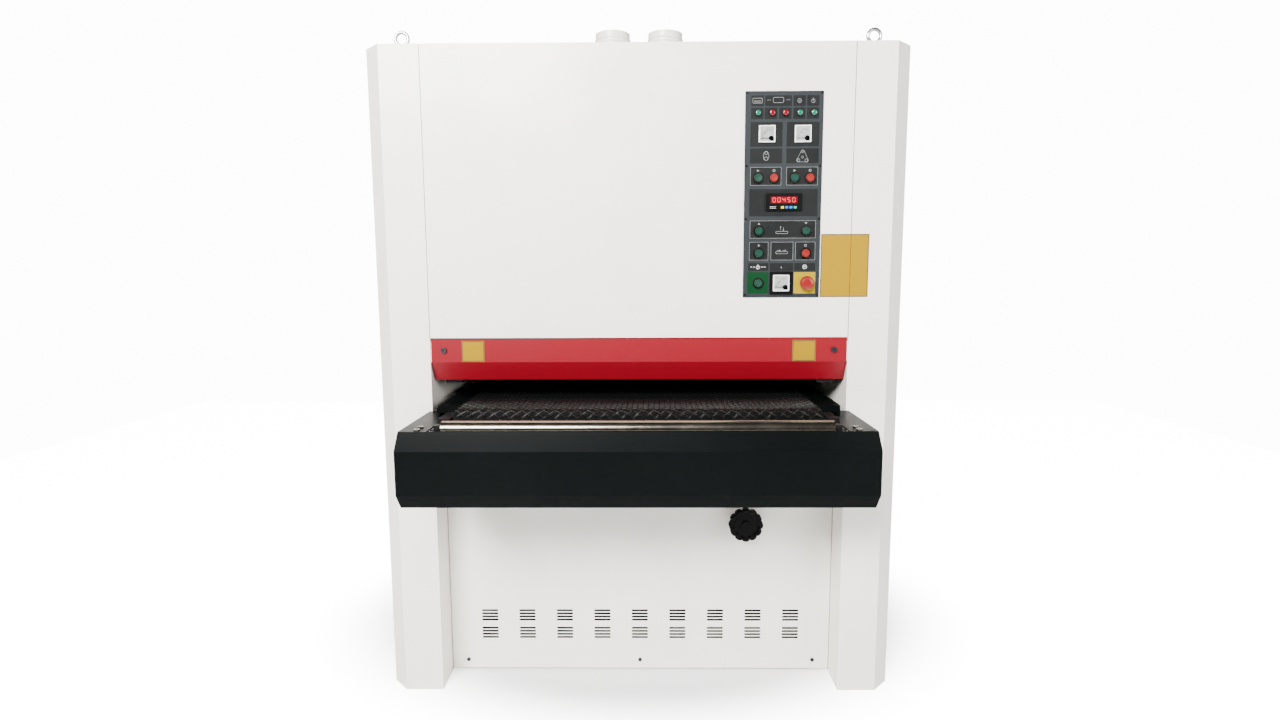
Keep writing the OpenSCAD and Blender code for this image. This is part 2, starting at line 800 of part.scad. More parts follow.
module digital_readout() {
    color("darkslategray") translate([readout_at[0], 0, readout_at[1]]) difference() {
        union() {
            pull_y(plate_y - readout_proud, readout_proud) square([readout_w, readout_h], center = true);
            pull_y(plate_y, readout_depth) square([readout_w - meter_rim, readout_h - meter_rim],
                center = true);
            // Four flat keys under the figures
            for (i = [0 : 3]) pull_y(plate_y - readout_proud - plate_t / 2, readout_proud)
                translate([i * (key_w + meter_rim) - key_w / 2, -readout_h / 2 + key_w])
                square([key_w, key_h], center = true);
        }
        // Window for the figures
        pull_y(plate_y - readout_proud - overrun, meter_recess) translate([0, readout_h * window_up_share])
            square([readout_w * window_w_share, readout_h * window_h_share], center = true);
    }
}

module pilot_lights() {
    color("limegreen") for (share = lamp_shares) let (at = plate_place(share, row_lamps_share)) {
        along_y(at[0], plate_y - ring_t, at[1], lamp_r, ring_t);
        along_y(at[0], plate_y, at[1], lamp_r - meter_rim / 2 - slot_play, barrel_len);
    }
}

module bezel(at) {
    difference() {
        union() {
            along_y(at[0], plate_y - ring_t, at[1], ring_r, ring_t);
            along_y(at[0], plate_y, at[1], button_r + barrel_wall, barrel_len);
        }
        along_y(at[0], plate_y - ring_t - overrun, at[1], button_r + slot_play,
            ring_t + barrel_len - 2 * barrel_wall);
    }
}

module button_bezels() {
    color(bare_steel) {
        for (at = button_places) bezel(at);
        difference() {
            union() {
                along_y(stop_at[0], plate_y - ring_t, stop_at[1], ring_r, ring_t);
                along_y(stop_at[0], plate_y, stop_at[1], button_r + barrel_wall, barrel_len);
            }
            along_y(stop_at[0], plate_y - ring_t - overrun, stop_at[1], stop_neck_r + slot_play,
                ring_t + barrel_len);
        }
    }
}

module push_button(at, shade) {
    color(shade) difference() {
        along_y(at[0], plate_y - cap_proud, at[1], button_r, cap_len);
        // Finger dish
        translate([at[0], plate_y - cap_proud - dish_r + button_travel / 8, at[1]])
            sphere(r = dish_r, $fn = 96);
    }
}

module emergency_stop() {
    color("red") translate([stop_at[0], 0, stop_at[1]]) rotate([90, 0, 0]) {
        translate([0, 0, -plate_y - cap_len]) cylinder(r = stop_neck_r, h = cap_len + stop_lift);
        translate([0, 0, -plate_y + stop_lift]) rotate_extrude()
            polygon([for (share = stop_shares) [stop_r * share[0], stop_h * share[1]]]);
    }
}

module needle(at) {
    color("black") translate([at[0] + pivot_in, plate_y - meter_proud + meter_recess - slot_play - needle_t,
        at[1] - pivot_in]) {
        rotate([-90, 0, 0]) cylinder(r = needle_hub_r, h = needle_t);
        rotate([-90, 0, 0]) cylinder(r = needle_pin_r, h = needle_t + meter_depth / 4);
        block([-needle_len, 0, -needle_w / 2], [0, needle_t, needle_w / 2]);
    }
}

// Main motors and belt drives

function motor_foot_xs() = [-motor_end_x + motor_cap + foot_len,
    -motor_end_x + motor_cap + motor_len - foot_len];

module main_motor(y) {
    difference() {
        union() {
            along_x(-motor_end_x + motor_cap, y, motor_z, motor_r - fin_h, motor_len);
            along_x(-motor_end_x, y, motor_z, motor_r, motor_cap);
            along_x(-motor_end_x + motor_cap + motor_len, y, motor_z, motor_r, cowl_len);
            // Cooling fins along the stator
            for (i = [0 : motor_fins - 1]) translate([-motor_end_x + motor_cap, y, motor_z])
                rotate([(i + 1 / 2) * 360 / motor_fins, 0, 0])
                block([0, -fin_t / 2, motor_r - 2 * fin_h], [motor_len, fin_t / 2, motor_r - fin_t / 2]);
            // Feet on the motor rails
            for (x = motor_foot_xs()) {
                block([x - foot_len / 2, y - motor_r, rail_w],
                    [x + foot_len / 2, y + motor_r, rail_w + foot_h]);
                block([x - foot_len / 2, y - motor_r / 2, rail_w],
                    [x + foot_len / 2, y + motor_r / 2, motor_z]);
            }
            // Terminal box
            block([-motor_end_x + motor_cap + foot_len, y - foot_len, motor_z],
                [-motor_end_x + motor_cap + 3 * foot_len, y + foot_len, motor_z + motor_r + foot_len]);
        }
        along_x(-motor_end_x - overrun, y, motor_z, motor_shaft_r + bore_play, motor_cap + motor_len / 2);
    }
}

module main_motors() {
    color("steelblue") for (y = [-motor_y, motor_y]) main_motor(y);
}

// A flanged pulley on the left side, inner face at pulley_x
module pulley(y, z, r) {
    along_x(-pulley_x - pulley_len, y, z, r, pulley_len);
    for (x = [-pulley_x - flange_t, -pulley_x - pulley_len])
        along_x(x, y, z, r + flange_rise, flange_t);
}

module motor_rotor(y) {
    color(bare_steel) {
        pulley(y, motor_z, motor_pulley_r);
        along_x(-pulley_x - pulley_len - flange_t, y, motor_z, motor_shaft_r,
            pulley_x + pulley_len + flange_t - motor_end_x + motor_cap + motor_len / 4);
    }
}

module drive_belt(y0, z0, r0, y1, z1, r1) {
    translate([-pulley_x - pulley_len / 2, 0, 0])
        belt_loop([[y0, z0, r0], [y1, z1, r1]], belt_play, drive_belt_t, drive_belt_w);
}

module drive_belts() {
    color("dimgray") {
        drive_belt(-motor_y, motor_z, motor_pulley_r, drum_y, drum_z, drum_pulley_r);
        drive_belt(motor_y, motor_z, motor_pulley_r, combi_y, combi_z, drum_pulley_r);
    }
}

// Sanding heads

module drum(y, z, r) {
    across(y, z, r, drum_len);
    along_x(-pulley_x - pulley_len - flange_t, y, z, journal_r,
        pulley_x + pulley_len + flange_t + bearing_x + bearing_t);
    pulley(y, z, drum_pulley_r);
}

module free_roller(y, z, r, stub) {
    across(y, z, r, drum_len);
    across(y, z, stub, 2 * (bearing_x + yoke_t));
}

drum_wheels = [[drum_y, drum_z, drum_r], [drum_y, tension_z, tension_r]];
combi_wheels = [[combi_y, combi_z, combi_r], [idler_y, idler_z, idler_r],
    [combi_tension_y, tension_z, tension_r]];

module abrasive_belts() {
    color("saddlebrown") {
        belt_loop(drum_wheels, belt_play, abrasive_t, abrasive_w);
        belt_loop(combi_wheels, belt_play, abrasive_t, abrasive_w);
    }
}

// The beam, its end plates and the yoke of the tension roller
module head_frame(y, low_bearings) {
    difference() {
        union() {
            block([-half_bay, y - head_beam_d / 2, head_beam_z],
                [bearing_x + bearing_t, y + head_beam_d / 2, head_beam_z + head_beam_h]);
            // Flange on the machined plate
            block([-half_bay, y - head_beam_d, head_beam_z - bearing_t],
                [-half_bay + bearing_t, y + head_beam_d, head_beam_z + head_beam_h + bearing_t]);
            // Outer bearing plate, and the bosses of the inner bearings
            for (b = low_bearings) {
                block([bearing_x, min(b[0], y) - boss_r, b[1]],
                    [bearing_x + bearing_t, max(b[0], y) + boss_r, head_beam_z]);
                along_x(bearing_x, b[0], b[1], boss_r, bearing_t);
                along_x(-half_bay, b[0], b[1], b[2] + 2 * bearing_t, half_bay - bearing_x);
            }
            // Tension cylinder and yoke
            translate([0, y, head_beam_z + head_beam_h])
                cylinder(r = cylinder_r, h = tension_z - tension_r - head_beam_z - head_beam_h - yoke_h);
            block([-bearing_x - yoke_t, y - cylinder_r, tension_z - tension_r - yoke_h - cylinder_r],
                [bearing_x + yoke_t, y + cylinder_r, tension_z - tension_r - cylinder_r]);
            mirrored([1, 0, 0]) block([bearing_x, y - cylinder_r,
                tension_z - tension_r - yoke_h - cylinder_r],
                [bearing_x + yoke_t, y + cylinder_r, tension_z + cylinder_r]);
        }
        for (b = low_bearings) across(b[0], b[1], b[2] + bore_play, 2 * (half_bay + overrun));
        across(y, tension_z, stub_r + bore_play, 2 * (half_bay + overrun));
    }
}

// Bar that locks the free end of a head to the housing, unbolted for a belt change
module lock_bar(y, reach_y) {
    block([bearing_x + bearing_t, min(y, reach_y), head_beam_z + lock_h / 2],
        [bearing_x + bearing_t + lock_t, max(y, reach_y), head_beam_z + lock_h * 3 / 2]);
    block([bearing_x + bearing_t, reach_y - lock_t, head_beam_z + lock_h / 2],
        [half_bay, reach_y + lock_t, head_beam_z + lock_h * 3 / 2]);
}

// Beam across the bay with the blocks that hold a pressure roller
module pressure_beam_piece(y) {
    difference() {
        union() {
            block([-half_bay, y - pressure_beam / 2, pressure_z + pressure_r + panel_gap],
                [half_bay, y + pressure_beam / 2, pressure_z + pressure_r + panel_gap + pressure_beam]);
            mirrored([1, 0, 0]) block([pressure_len / 2 + panel_gap, y - pressure_beam / 2,
                pass_z - panel_gap],
                [pressure_len / 2 + panel_gap + block_t, y + pressure_beam / 2,
                    pressure_z + pressure_r + pressure_beam]);
        }
        across(y, pressure_z, stub_r + bore_play, 2 * (half_bay + overrun));
    }
}

module head_frames() {
    color(bare_steel) {
        head_frame(drum_y, [[drum_y, drum_z, journal_r]]);
        head_frame(combi_tension_y, [[combi_y, combi_z, journal_r], [idler_y, idler_z, stub_r]]);
        lock_bar(drum_y, column_back + fold_w / 2);
        lock_bar(combi_tension_y, -column_back - fold_w / 2);
        for (y = [-pressure_y, pressure_y]) pressure_beam_piece(y);
    }
}

module platen() {
    color("dimgray") {
        platen_low = pass_z + abrasive_t + belt_play;
        block([-drum_len / 2, combi_tension_y - platen_w / 2, platen_low],
            [drum_len / 2, combi_tension_y + platen_w / 2, platen_low + platen_h]);
        for (x = [-hanger_x, hanger_x]) block([x - hanger_t / 2, combi_tension_y - platen_w / 2, platen_low],
            [x + hanger_t / 2, combi_tension_y + platen_w / 2, head_beam_z]);
    }
}

module sanding_drum() {
    color("dimgray") drum(drum_y, drum_z, drum_r);
}

module drum_tension_roller() {
    color(bare_steel) free_roller(drum_y, tension_z, tension_r, stub_r);
}

module combi_drum() {
    color("dimgray") drum(combi_y, combi_z, combi_r);
}

module combi_idler() {
    color(bare_steel) {
        across(idler_y, idler_z, idler_r, drum_len);
        across(idler_y, idler_z, stub_r, 2 * (bearing_x + bearing_t));
    }
}

module combi_tension_roller() {
    color(bare_steel) free_roller(combi_tension_y, tension_z, tension_r, stub_r);
}

module pressure_roller(y) {
    color("dimgray") {
        across(y, pressure_z, pressure_r, pressure_len);
        across(y, pressure_z, stub_r, pressure_len + 2 * block_t);
    }
}

// Feed table

module table_frame() {
    color(dark_paint) {
        // Side beams of box section, closed below by the plates that take the lift screws
        mirrored([1, 0, 0]) difference() {
            block([beam_x, -beam_end, beam_bottom], [beam_x + beam_w, beam_end, beam_top]);
            block([beam_x + beam_wall, -beam_end - overrun, beam_bottom + bed_t],
                [beam_x + beam_w - beam_wall, beam_end + overrun, beam_top - beam_wall]);
        }
        block([-beam_x - beam_w, -beam_end, beam_top], [beam_x + beam_w, beam_end, beam_top + bed_t]);
        // Channel cross members inside the belt loop
        for (i = [0 : cross_count - 1]) let (y = (i / (cross_count - 1) - 1 / 2) * 2 * (beam_end - cross_w)) {
            for (side = [y - cross_w / 2, y + cross_w / 2 - beam_wall])
                block([-beam_x, side, beam_top - cross_h], [beam_x, side + beam_wall, beam_top]);
            block([-beam_x, y - cross_w / 2, beam_top - cross_h],
                [beam_x, y + cross_w / 2, beam_top - cross_h + beam_wall]);
        }
    }
}

conveyor_wheels = [[-conveyor_y, roller_z, roller_r], [conveyor_y, roller_z, roller_r]];

module feed_belt() {
    color("black") belt_loop(conveyor_wheels, belt_play, feed_belt_t, feed_belt_w);
}

module conveyor_roller(y, drive_len) {
    across(y, roller_z, roller_r, feed_belt_w);
    across(y, roller_z, roller_journal_r, 2 * (beam_x + bracket_w));
    along_x(-beam_x - bracket_w - drive_len, y, roller_z, roller_journal_r, drive_len + bracket_w);
}

// Bearing block on the end of a side beam, with the arm that carries the guide roller
module conveyor_bracket() {
    difference() {
        union() {
            block([beam_x, -conveyor_y - roller_journal_r * 2, roller_z - block_h / 2],
                [beam_x + bracket_w, -beam_end, roller_z + block_h / 2]);
            block([beam_x, -bracket_end, guide_z - 2 * guide_r],
                [beam_x + bracket_w, -conveyor_y, apron_top - apron_t]);
            block([beam_x, -bracket_end, guide_z - 2 * guide_r],
                [beam_x + bracket_w / 2, -guide_y + guide_r / 2, guide_z + guide_r / 2]);
        }
        along_x(beam_x - overrun, -conveyor_y, roller_z, roller_journal_r + bore_play,
            bracket_w + 2 * overrun);
        along_x(beam_x - overrun, -guide_y, guide_z, guide_journal_r + bore_play, bracket_w + 2 * overrun);
    }
}

module conveyor_brackets() {
    color("black") mirrored([0, 1, 0]) mirrored([1, 0, 0]) conveyor_bracket();
}

module guide_roller(y) {
    color(bare_steel) {
        across(y, guide_z, guide_r, guide_w);
        across(y, guide_z, guide_journal_r, 2 * (beam_x + bracket_w / 2));
    }
}

// Side view of an apron at inset t from its outer face, facing -Y
function apron_side(t, back) = [
    [-back, apron_top - t], [-apron_reach + apron_bevel + t, apron_top - t],
    [-apron_reach + t, apron_crease], [-apron_reach + t, apron_face_bottom],
    [-apron_reach + apron_bevel + t, apron_bottom - (t > 0 ? overrun : 0)],
        [-back, apron_bottom - (t > 0 ? overrun : 0)]];

// Front view of an apron at inset t
function apron_front(t) = [
    [-apron_w / 2 + apron_end_bevel + t, apron_bottom - overrun], [-apron_w / 2 + t, apron_face_bottom],
    [-apron_w / 2 + t, apron_crease], [-apron_w / 2 + apron_end_bevel + t, apron_top + overrun],
    [apron_w / 2 - apron_end_bevel - t, apron_top + overrun], [apron_w / 2 - t, apron_crease],
    [apron_w / 2 - t, apron_face_bottom], [apron_w / 2 - apron_end_bevel - t, apron_bottom - overrun]];

module apron_block(t, back) {
    intersection() {
        pull_x(apron_w) polygon(apron_side(t, back));
        pull_y(-apron_reach - overrun, apron_reach) polygon(apron_front(t));
    }
}

module apron() {
    apron_back = -front_y + skirt_gap;
    difference() {
        apron_block(0, apron_back);
        apron_block(apron_t, apron_back - overrun);
        // Opening in the top for the conveyor and the guide roller, wider where the side beams end
        block([-beam_x - bracket_w, -guide_y - guide_r - panel_gap, apron_top - apron_t - overrun],
            [beam_x + bracket_w, -apron_back + overrun, apron_top + overrun]);
        block([-beam_x - beam_w - panel_gap, -beam_end - panel_gap, apron_top - apron_t - overrun],
            [beam_x + beam_w + panel_gap, -apron_back + overrun, apron_top + overrun]);
    }
}

module front_apron() {
    color(dark_paint) apron();
}

module rear_apron() {
    color(dark_paint) difference() {
        mirror([0, 1, 0]) apron();
        along_x(-apron_w / 2 - overrun, conveyor_y, roller_z, roller_journal_r + panel_gap,
            apron_w / 2 - beam_x);
    }
}

module lift_screws() {
    color(bare_steel) for (x = [-jack_x, jack_x], y = [-jack_y, jack_y]) translate([x, y, 0]) {
        translate([0, 0, beam_bottom - screw_flange_t]) cylinder(r = screw_flange_r, h = screw_flange_t);
        translate([0, 0, jack_seat - lift_up - screw_r])
            cylinder(r = screw_r, h = beam_bottom - jack_seat + lift_up + screw_r);
    }
}

module feed_gearmotor() {
    color("steelblue") difference() {
        union() {
            block([-gearmotor_x - gearmotor_t, conveyor_y - gearmotor_w / 2, roller_z - gearmotor_w / 2],
                [-gearmotor_x, conveyor_y + gearmotor_w / 2, roller_z + gearmotor_w / 2]);
            translate([-gearmotor_x - feed_motor_r - panel_gap, conveyor_y,
                roller_z - gearmotor_w / 2 - feed_motor_len])
                cylinder(r = feed_motor_r, h = feed_motor_len);
        }
        along_x(-gearmotor_x - gearmotor_t * 3 / 4, conveyor_y, roller_z, roller_journal_r + bore_play,
            gearmotor_t);
    }
}

// Table lift

module jack_housing() {
    difference() {
        block([jack_x - jack_w / 2, -lift_y - jack_w / 2 + bearing_gap, jack_seat],
            [jack_x + jack_w / 2, -jack_y + jack_w / 2, jack_seat + jack_h]);
        translate([jack_x, -jack_y, jack_seat - overrun])
            cylinder(r = screw_r + bore_play, h = jack_h + 2 * overrun);
        along_x(jack_x - jack_w, -lift_y, lift_z, lift_shaft_r + bore_play, 2 * jack_w);
    }
}

module bevel_box() {
    difference() {
        block([handwheel_x - bevel_w / 2, -lift_y - bevel_w / 2, jack_seat],
            [handwheel_x + bevel_w / 2, -lift_y + bevel_w / 2, jack_seat + jack_h]);
        along_x(handwheel_x - bevel_w, -lift_y, lift_z, lift_shaft_r + bore_play, 2 * bevel_w);
        along_y(handwheel_x, -lift_y - bevel_w, lift_z, lift_shaft_r + bore_play,
            bevel_w / 2 + stub_depth + overrun);
        along_y(handwheel_x, -lift_y + bevel_w / 2 - stub_depth - overrun, lift_z, lift_shaft_r + bore_play,
            bevel_w);
    }
}

module lift_gearboxes() {
    color("slategray") mirrored([0, 1, 0]) {
        mirrored([1, 0, 0]) jack_housing();
        bevel_box();
    }
}

module lift_gearmotor() {
    color("steelblue") difference() {
        union() {
            block([lift_motor_x - bevel_w / 2, lift_y - bevel_w / 2, jack_seat],
                [lift_motor_x + bevel_w / 2, lift_y + bevel_w / 2, jack_seat + jack_h]);
            along_y(lift_motor_x, lift_y - bevel_w / 2 - lift_motor_len, lift_z + lift_motor_r - jack_h / 2,
                lift_motor_r, lift_motor_len);
        }
        along_x(lift_motor_x - bevel_w, lift_y, lift_z, lift_shaft_r + bore_play, 2 * bevel_w);
    }
}

module cross_shaft(y) {
    color(bare_steel) {
        across(y, lift_z, lift_shaft_r, 2 * shaft_end);
        for (x = [-handwheel_x, (lift_motor_x + handwheel_x) / 2])
            along_x(x - coupling_len / 2, y, lift_z, coupling_r, coupling_len);
    }
}

module link_shaft() {
    color(bare_steel) {
        link_len = 2 * (lift_y - bevel_w / 2 + stub_depth);
        along_y(handwheel_x, -link_len / 2, lift_z, lift_shaft_r, link_len);
        along_y(handwheel_x, -coupling_len / 2, lift_z, coupling_r, coupling_len);
    }
}

module lift_handwheel() {
    rim_y = lower_face_y - handwheel_gap - handwheel_t;
    lobe_r = handwheel_r * lobe_share;
    color("black") {
        pull_y(rim_y, handwheel_t) translate([handwheel_x, lift_z]) {
            circle(r = handwheel_r - lobe_r);
            for (i = [0 : handwheel_lobes - 1]) rotate([0, 0, i * 360 / handwheel_lobes])
                translate([handwheel_r - lobe_r, 0]) circle(r = lobe_r);
        }
        along_y(handwheel_x, rim_y + handwheel_t, lift_z, 2 * lift_shaft_r, handwheel_gap / 2);
        along_y(handwheel_x, rim_y + handwheel_t, lift_z, lift_shaft_r,
            -lift_y - bevel_w / 2 + stub_depth - rim_y - handwheel_t);
    }
}

// Side doors

module door() {
    difference() {
        block([half_w - fold_w, column_back + panel_gap, door_bottom + panel_gap],
            [half_w, -column_back - panel_gap, door_top - panel_gap]);
        block([half_w - fold_w - overrun, column_back + panel_gap + sheet_t,
            door_bottom + panel_gap + sheet_t],
            [half_w - sheet_t, -column_back - panel_gap - sheet_t, door_top - panel_gap - sheet_t]);
    }
    for (z = hinge_heights()) {
        hinge_knuckle(z + knuckle_h + belt_play, false);
        block([half_w, hinge_y - leaf_w, z + knuckle_h + belt_play],
            [half_w + leaf_t, hinge_y - panel_gap, z + 2 * knuckle_h + belt_play]);
        block([half_w, hinge_y - knuckle_r, z + knuckle_h + belt_play],
            [hinge_x - hinge_pin_r - overrun, hinge_y - panel_gap, z + 2 * knuckle_h + belt_play]);
    }
    // Bow handle near the free edge
    handle_y = column_back + 3 * fold_w;
    handle_z = (door_bottom + door_top) / 2;
    for (z = [handle_z - handle_h / 2, handle_z + handle_h / 2])
        along_x(half_w, handle_y, z, handle_r, handle_reach - handle_r);
    translate([half_w + handle_reach - handle_r, handle_y, handle_z - handle_h / 2 - handle_r])
        cylinder(r = handle_r, h = handle_h + 2 * handle_r);
}

module right_door() {
    color(paint) door();
}

module left_door() {
    color(paint) mirror([1, 0, 0]) door();
}

side_frames();
base_frame();
top_cover();
upper_front_panel();
lower_front_panel();
front_guard();
rear_panels();
dust_outlets();
lifting_eyes();
control_panel();
meter_cases();
digital_readout();
pilot_lights();
button_bezels();
main_motors();
lift_gearboxes();
lift_gearmotor();
head_frames();
abrasive_belts();
drive_belts();
platen();
table_frame();
feed_belt();
front_apron();
rear_apron();
conveyor_brackets();
lift_screws();
feed_gearmotor();
color(bare_steel)  // feed_drive_roller
    conveyor_roller(conveyor_y, gearmotor_x + gearmotor_t / 2 - beam_x - bracket_w);
color(bare_steel) conveyor_roller(-conveyor_y, 0);  // feed_idler_roller
guide_roller(-guide_y);  // infeed_roller
guide_roller(guide_y);  // outfeed_roller
sanding_drum();
drum_tension_roller();
combi_drum();
combi_idler();
combi_tension_roller();
motor_rotor(-motor_y);  // drum_motor_rotor
motor_rotor(motor_y);  // combi_motor_rotor
pressure_roller(-pressure_y);  // front_pressure_roller
pressure_roller(pressure_y);  // rear_pressure_roller
cross_shaft(-lift_y);  // front_cross_shaft
cross_shaft(lift_y);  // rear_cross_shaft
link_shaft();
lift_handwheel();
push_button(drum_start_at, "seagreen");  // drum_start_button
push_button(drum_stop_at, "crimson");  // drum_stop_button
push_button(combi_start_at, "seagreen");  // combi_start_button
push_button(combi_stop_at, "crimson");  // combi_stop_button
push_button(table_up_at, "seagreen");  // table_up_button
push_button(table_down_at, "seagreen");  // table_down_button
push_button(feed_start_at, "seagreen");  // feed_start_button
push_button(feed_stop_at, "crimson");  // feed_stop_button
push_button(power_at, "seagreen");  // power_button
emergency_stop();
needle(drum_meter_at);  // drum_meter_needle
needle(combi_meter_at);  // combi_meter_needle
needle(volt_meter_at);  // voltmeter_needle
left_door();
right_door();
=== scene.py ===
# Wide belt sander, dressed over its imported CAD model. Metres, Z up, infeed side towards -Y.
import math

import bmesh
import bpy
from mathutils import Matrix, Vector


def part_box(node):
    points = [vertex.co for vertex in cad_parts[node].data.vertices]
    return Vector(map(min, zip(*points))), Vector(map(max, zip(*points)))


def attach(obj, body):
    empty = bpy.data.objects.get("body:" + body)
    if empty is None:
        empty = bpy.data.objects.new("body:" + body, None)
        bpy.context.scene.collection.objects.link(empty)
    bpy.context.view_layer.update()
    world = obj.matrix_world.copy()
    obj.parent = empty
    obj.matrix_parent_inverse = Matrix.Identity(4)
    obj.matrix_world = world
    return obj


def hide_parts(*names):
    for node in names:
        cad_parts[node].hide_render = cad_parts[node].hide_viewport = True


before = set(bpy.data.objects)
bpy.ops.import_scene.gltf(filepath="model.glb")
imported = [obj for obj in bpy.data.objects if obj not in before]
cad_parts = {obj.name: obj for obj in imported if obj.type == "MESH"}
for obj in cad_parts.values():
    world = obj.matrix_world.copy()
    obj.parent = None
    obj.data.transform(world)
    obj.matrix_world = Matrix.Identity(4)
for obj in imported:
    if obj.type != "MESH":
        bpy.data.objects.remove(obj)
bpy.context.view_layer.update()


# Studio
# A pale floor without a visible edge, one wide soft key from the upper left, a weaker fill from
# the right and a white surround, as on a product photograph taken from chest height.
def stand(name, data):
    """An object at the origin of the scene that holds data."""
    holder = bpy.data.objects.new(name, data)
    bpy.context.scene.collection.objects.link(holder)
    return holder


camera_data = bpy.data.cameras.new("camera")
camera_data.lens = 20.004
camera_data.sensor_width = 36
camera_data.clip_end = 100
camera = stand("camera", camera_data)
camera_place = (0.026, -2.6166, 1.283)
camera_pitch, camera_yaw, camera_roll = 0.1216, 0.0103, 0.0038
camera.matrix_world = (Matrix.Translation(camera_place) @ Matrix.Rotation(camera_yaw, 4, "Z")
                       @ Matrix.Rotation(math.pi / 2 - camera_pitch, 4, "X")
                       @ Matrix.Rotation(-camera_roll, 4, "Z"))
bpy.context.scene.camera = camera


def softbox(name, place, aim, width, height, watts):
    """An area light at place that faces aim."""
    lamp = bpy.data.lights.new(name, "AREA")
    lamp.shape = "RECTANGLE"
    lamp.size, lamp.size_y, lamp.energy = width, height, watts
    holder = stand(name, lamp)
    holder.location = place
    holder.rotation_euler = (Vector(aim) - Vector(place)).to_track_quat("-Z", "Y").to_euler()


softbox("key", (-1.6, -4.2, 3.4), (0.1, 0, 1.4), 2.4, 1.6, 900)
softbox("fill", (3.2, -3.2, 2.2), (0, 0, 0.9), 2.4, 2.4, 170)
softbox("back", (0.5, 4.5, 3.2), (0, 0, 1.2), 3.0, 2.0, 260)


def wire(tree, node, **sockets):
    """Gives sockets of a node a value or a link; n0 stands for the socket of number 0."""
    for label, value in sockets.items():
        key = int(label[1:]) if label[0] == "n" and label[1:].isdigit() else label.replace("_", " ")
        if isinstance(value, bpy.types.NodeSocket):
            tree.links.new(value, node.inputs[key])
        else:
            node.inputs[key].default_value = value


def put(tree, kind, settings=None, **sockets):
    """A new node with its settings and sockets; a kind without Node in its name is a shader node's."""
    node = tree.nodes.new(kind if "Node" in kind else "ShaderNode" + kind)
    for label, value in (settings or {}).items():
        setattr(node, label, value)
    wire(tree, node, **sockets)
    return node


def made(tree, kind, settings=None, **sockets):
    """The first output of a new node."""
    return put(tree, kind, settings, **sockets).outputs[0]


def calc(tree, first, sign, second=0.0):
    """What a Math node gives: first and second joined by a sign, or a function of them by its name."""
    operation = {"+": "ADD", "-": "SUBTRACT", "*": "MULTIPLY", "/": "DIVIDE"}.get(sign, sign)
    return made(tree, "Math", {"operation": operation}, n0=first, n1=second)


def shader(name):
    """A new material and its Principled BSDF."""
    material = bpy.data.materials.new(name)
    material.use_nodes = True
    return material, material.node_tree, material.node_tree.nodes["Principled BSDF"]


# The camera sees an even white backdrop; the machine is lit by a surround that is brighter above
backdrop_strength, low_strength, high_strength = 17.0, 0.55, 2.6
soft_step = {"interpolation_type": "SMOOTHSTEP"}
world = bpy.data.worlds.new("surround")
world.use_nodes = True
bpy.context.scene.world = world
sky = world.node_tree
direction = put(sky, "SeparateXYZ", n0=put(sky, "TexCoord").outputs["Generated"])
surround = sky.nodes["Background"]
wire(sky, surround, Strength=made(
    sky, "MapRange", soft_step, Value=direction.outputs["Z"], From_Min=-0.05, From_Max=0.75,
    To_Min=low_strength, To_Max=high_strength))
wire(sky, sky.nodes["World Output"], Surface=made(
    sky, "MixShader", n0=put(sky, "LightPath").outputs["Is Camera Ray"],
    n1=surround.outputs[0], n2=made(sky, "Background", Strength=backdrop_strength)))

# For the camera the floor turns into the backdrop outside an oval that holds the machine's shadow
floor_reach, floor_glow, oval_scale, oval_edge, glow_edge = 4.5, 15.0, (1.15, 1.6, 0), 0.88, 1.5
floor_mesh = bpy.data.meshes.new("studio_floor")
floor_corners = ((-1, -1), (1, -1), (1, 1), (-1, 1))
floor_mesh.from_pydata([(x * floor_reach, y * floor_reach, 0) for x, y in floor_corners], [], [(0, 1, 2, 3)])
studio_floor = stand("studio_floor", floor_mesh)
floor_paint, floor_tree, floor_surface = shader("floor_paint")
floor_coords = put(floor_tree, "TexCoord").outputs["Object"]
floor_spot = made(floor_tree, "Mapping", Scale=oval_scale, Vector=floor_coords)
floor_far = put(floor_tree, "VectorMath", {"operation": "LENGTH"}, n0=floor_spot)
floor_open = made(floor_tree, "MapRange", soft_step, Value=floor_far.outputs["Value"],
                  From_Min=oval_edge, From_Max=glow_edge)
floor_seen = calc(floor_tree, put(floor_tree, "LightPath").outputs["Is Camera Ray"], "*", floor_open)
wire(floor_tree, floor_surface, Base_Color=(0.86, 0.86, 0.86, 1), Roughness=0.7, Specular_IOR_Level=0.1,
     Emission_Color=(1, 1, 1, 1), Emission_Strength=calc(floor_tree, floor_seen, "*", floor_glow))
floor_mesh.materials.append(floor_paint)


# Painted sheet steel cabinet
# Columns, covers, panels, doors and dust outlets are folded from 3 mm sheet and powder coated in a
# warm off-white. The coat has a fine orange peel and goes a little greyer low down.
def effect_group(name, inputs, *outputs):
    """An empty shader node group; each input is a name with its value, which tells its kind."""
    group = bpy.data.node_groups.new(name, "ShaderNodeTree")
    for label, value in inputs.items():
        kind = "Float" if isinstance(value, float) else {3: "Vector", 4: "Color"}[len(value)]
        socket = group.interface.new_socket(label, in_out="INPUT", socket_type="NodeSocket" + kind)
        socket.default_value = value
    for label in outputs:
        kind = "NodeSocketColor" if label == "Colour" else "NodeSocketFloat"
        group.interface.new_socket(label, in_out="OUTPUT", socket_type=kind)
    return group, put(group, "NodeGroupInput").outputs, put(group, "NodeGroupOutput")


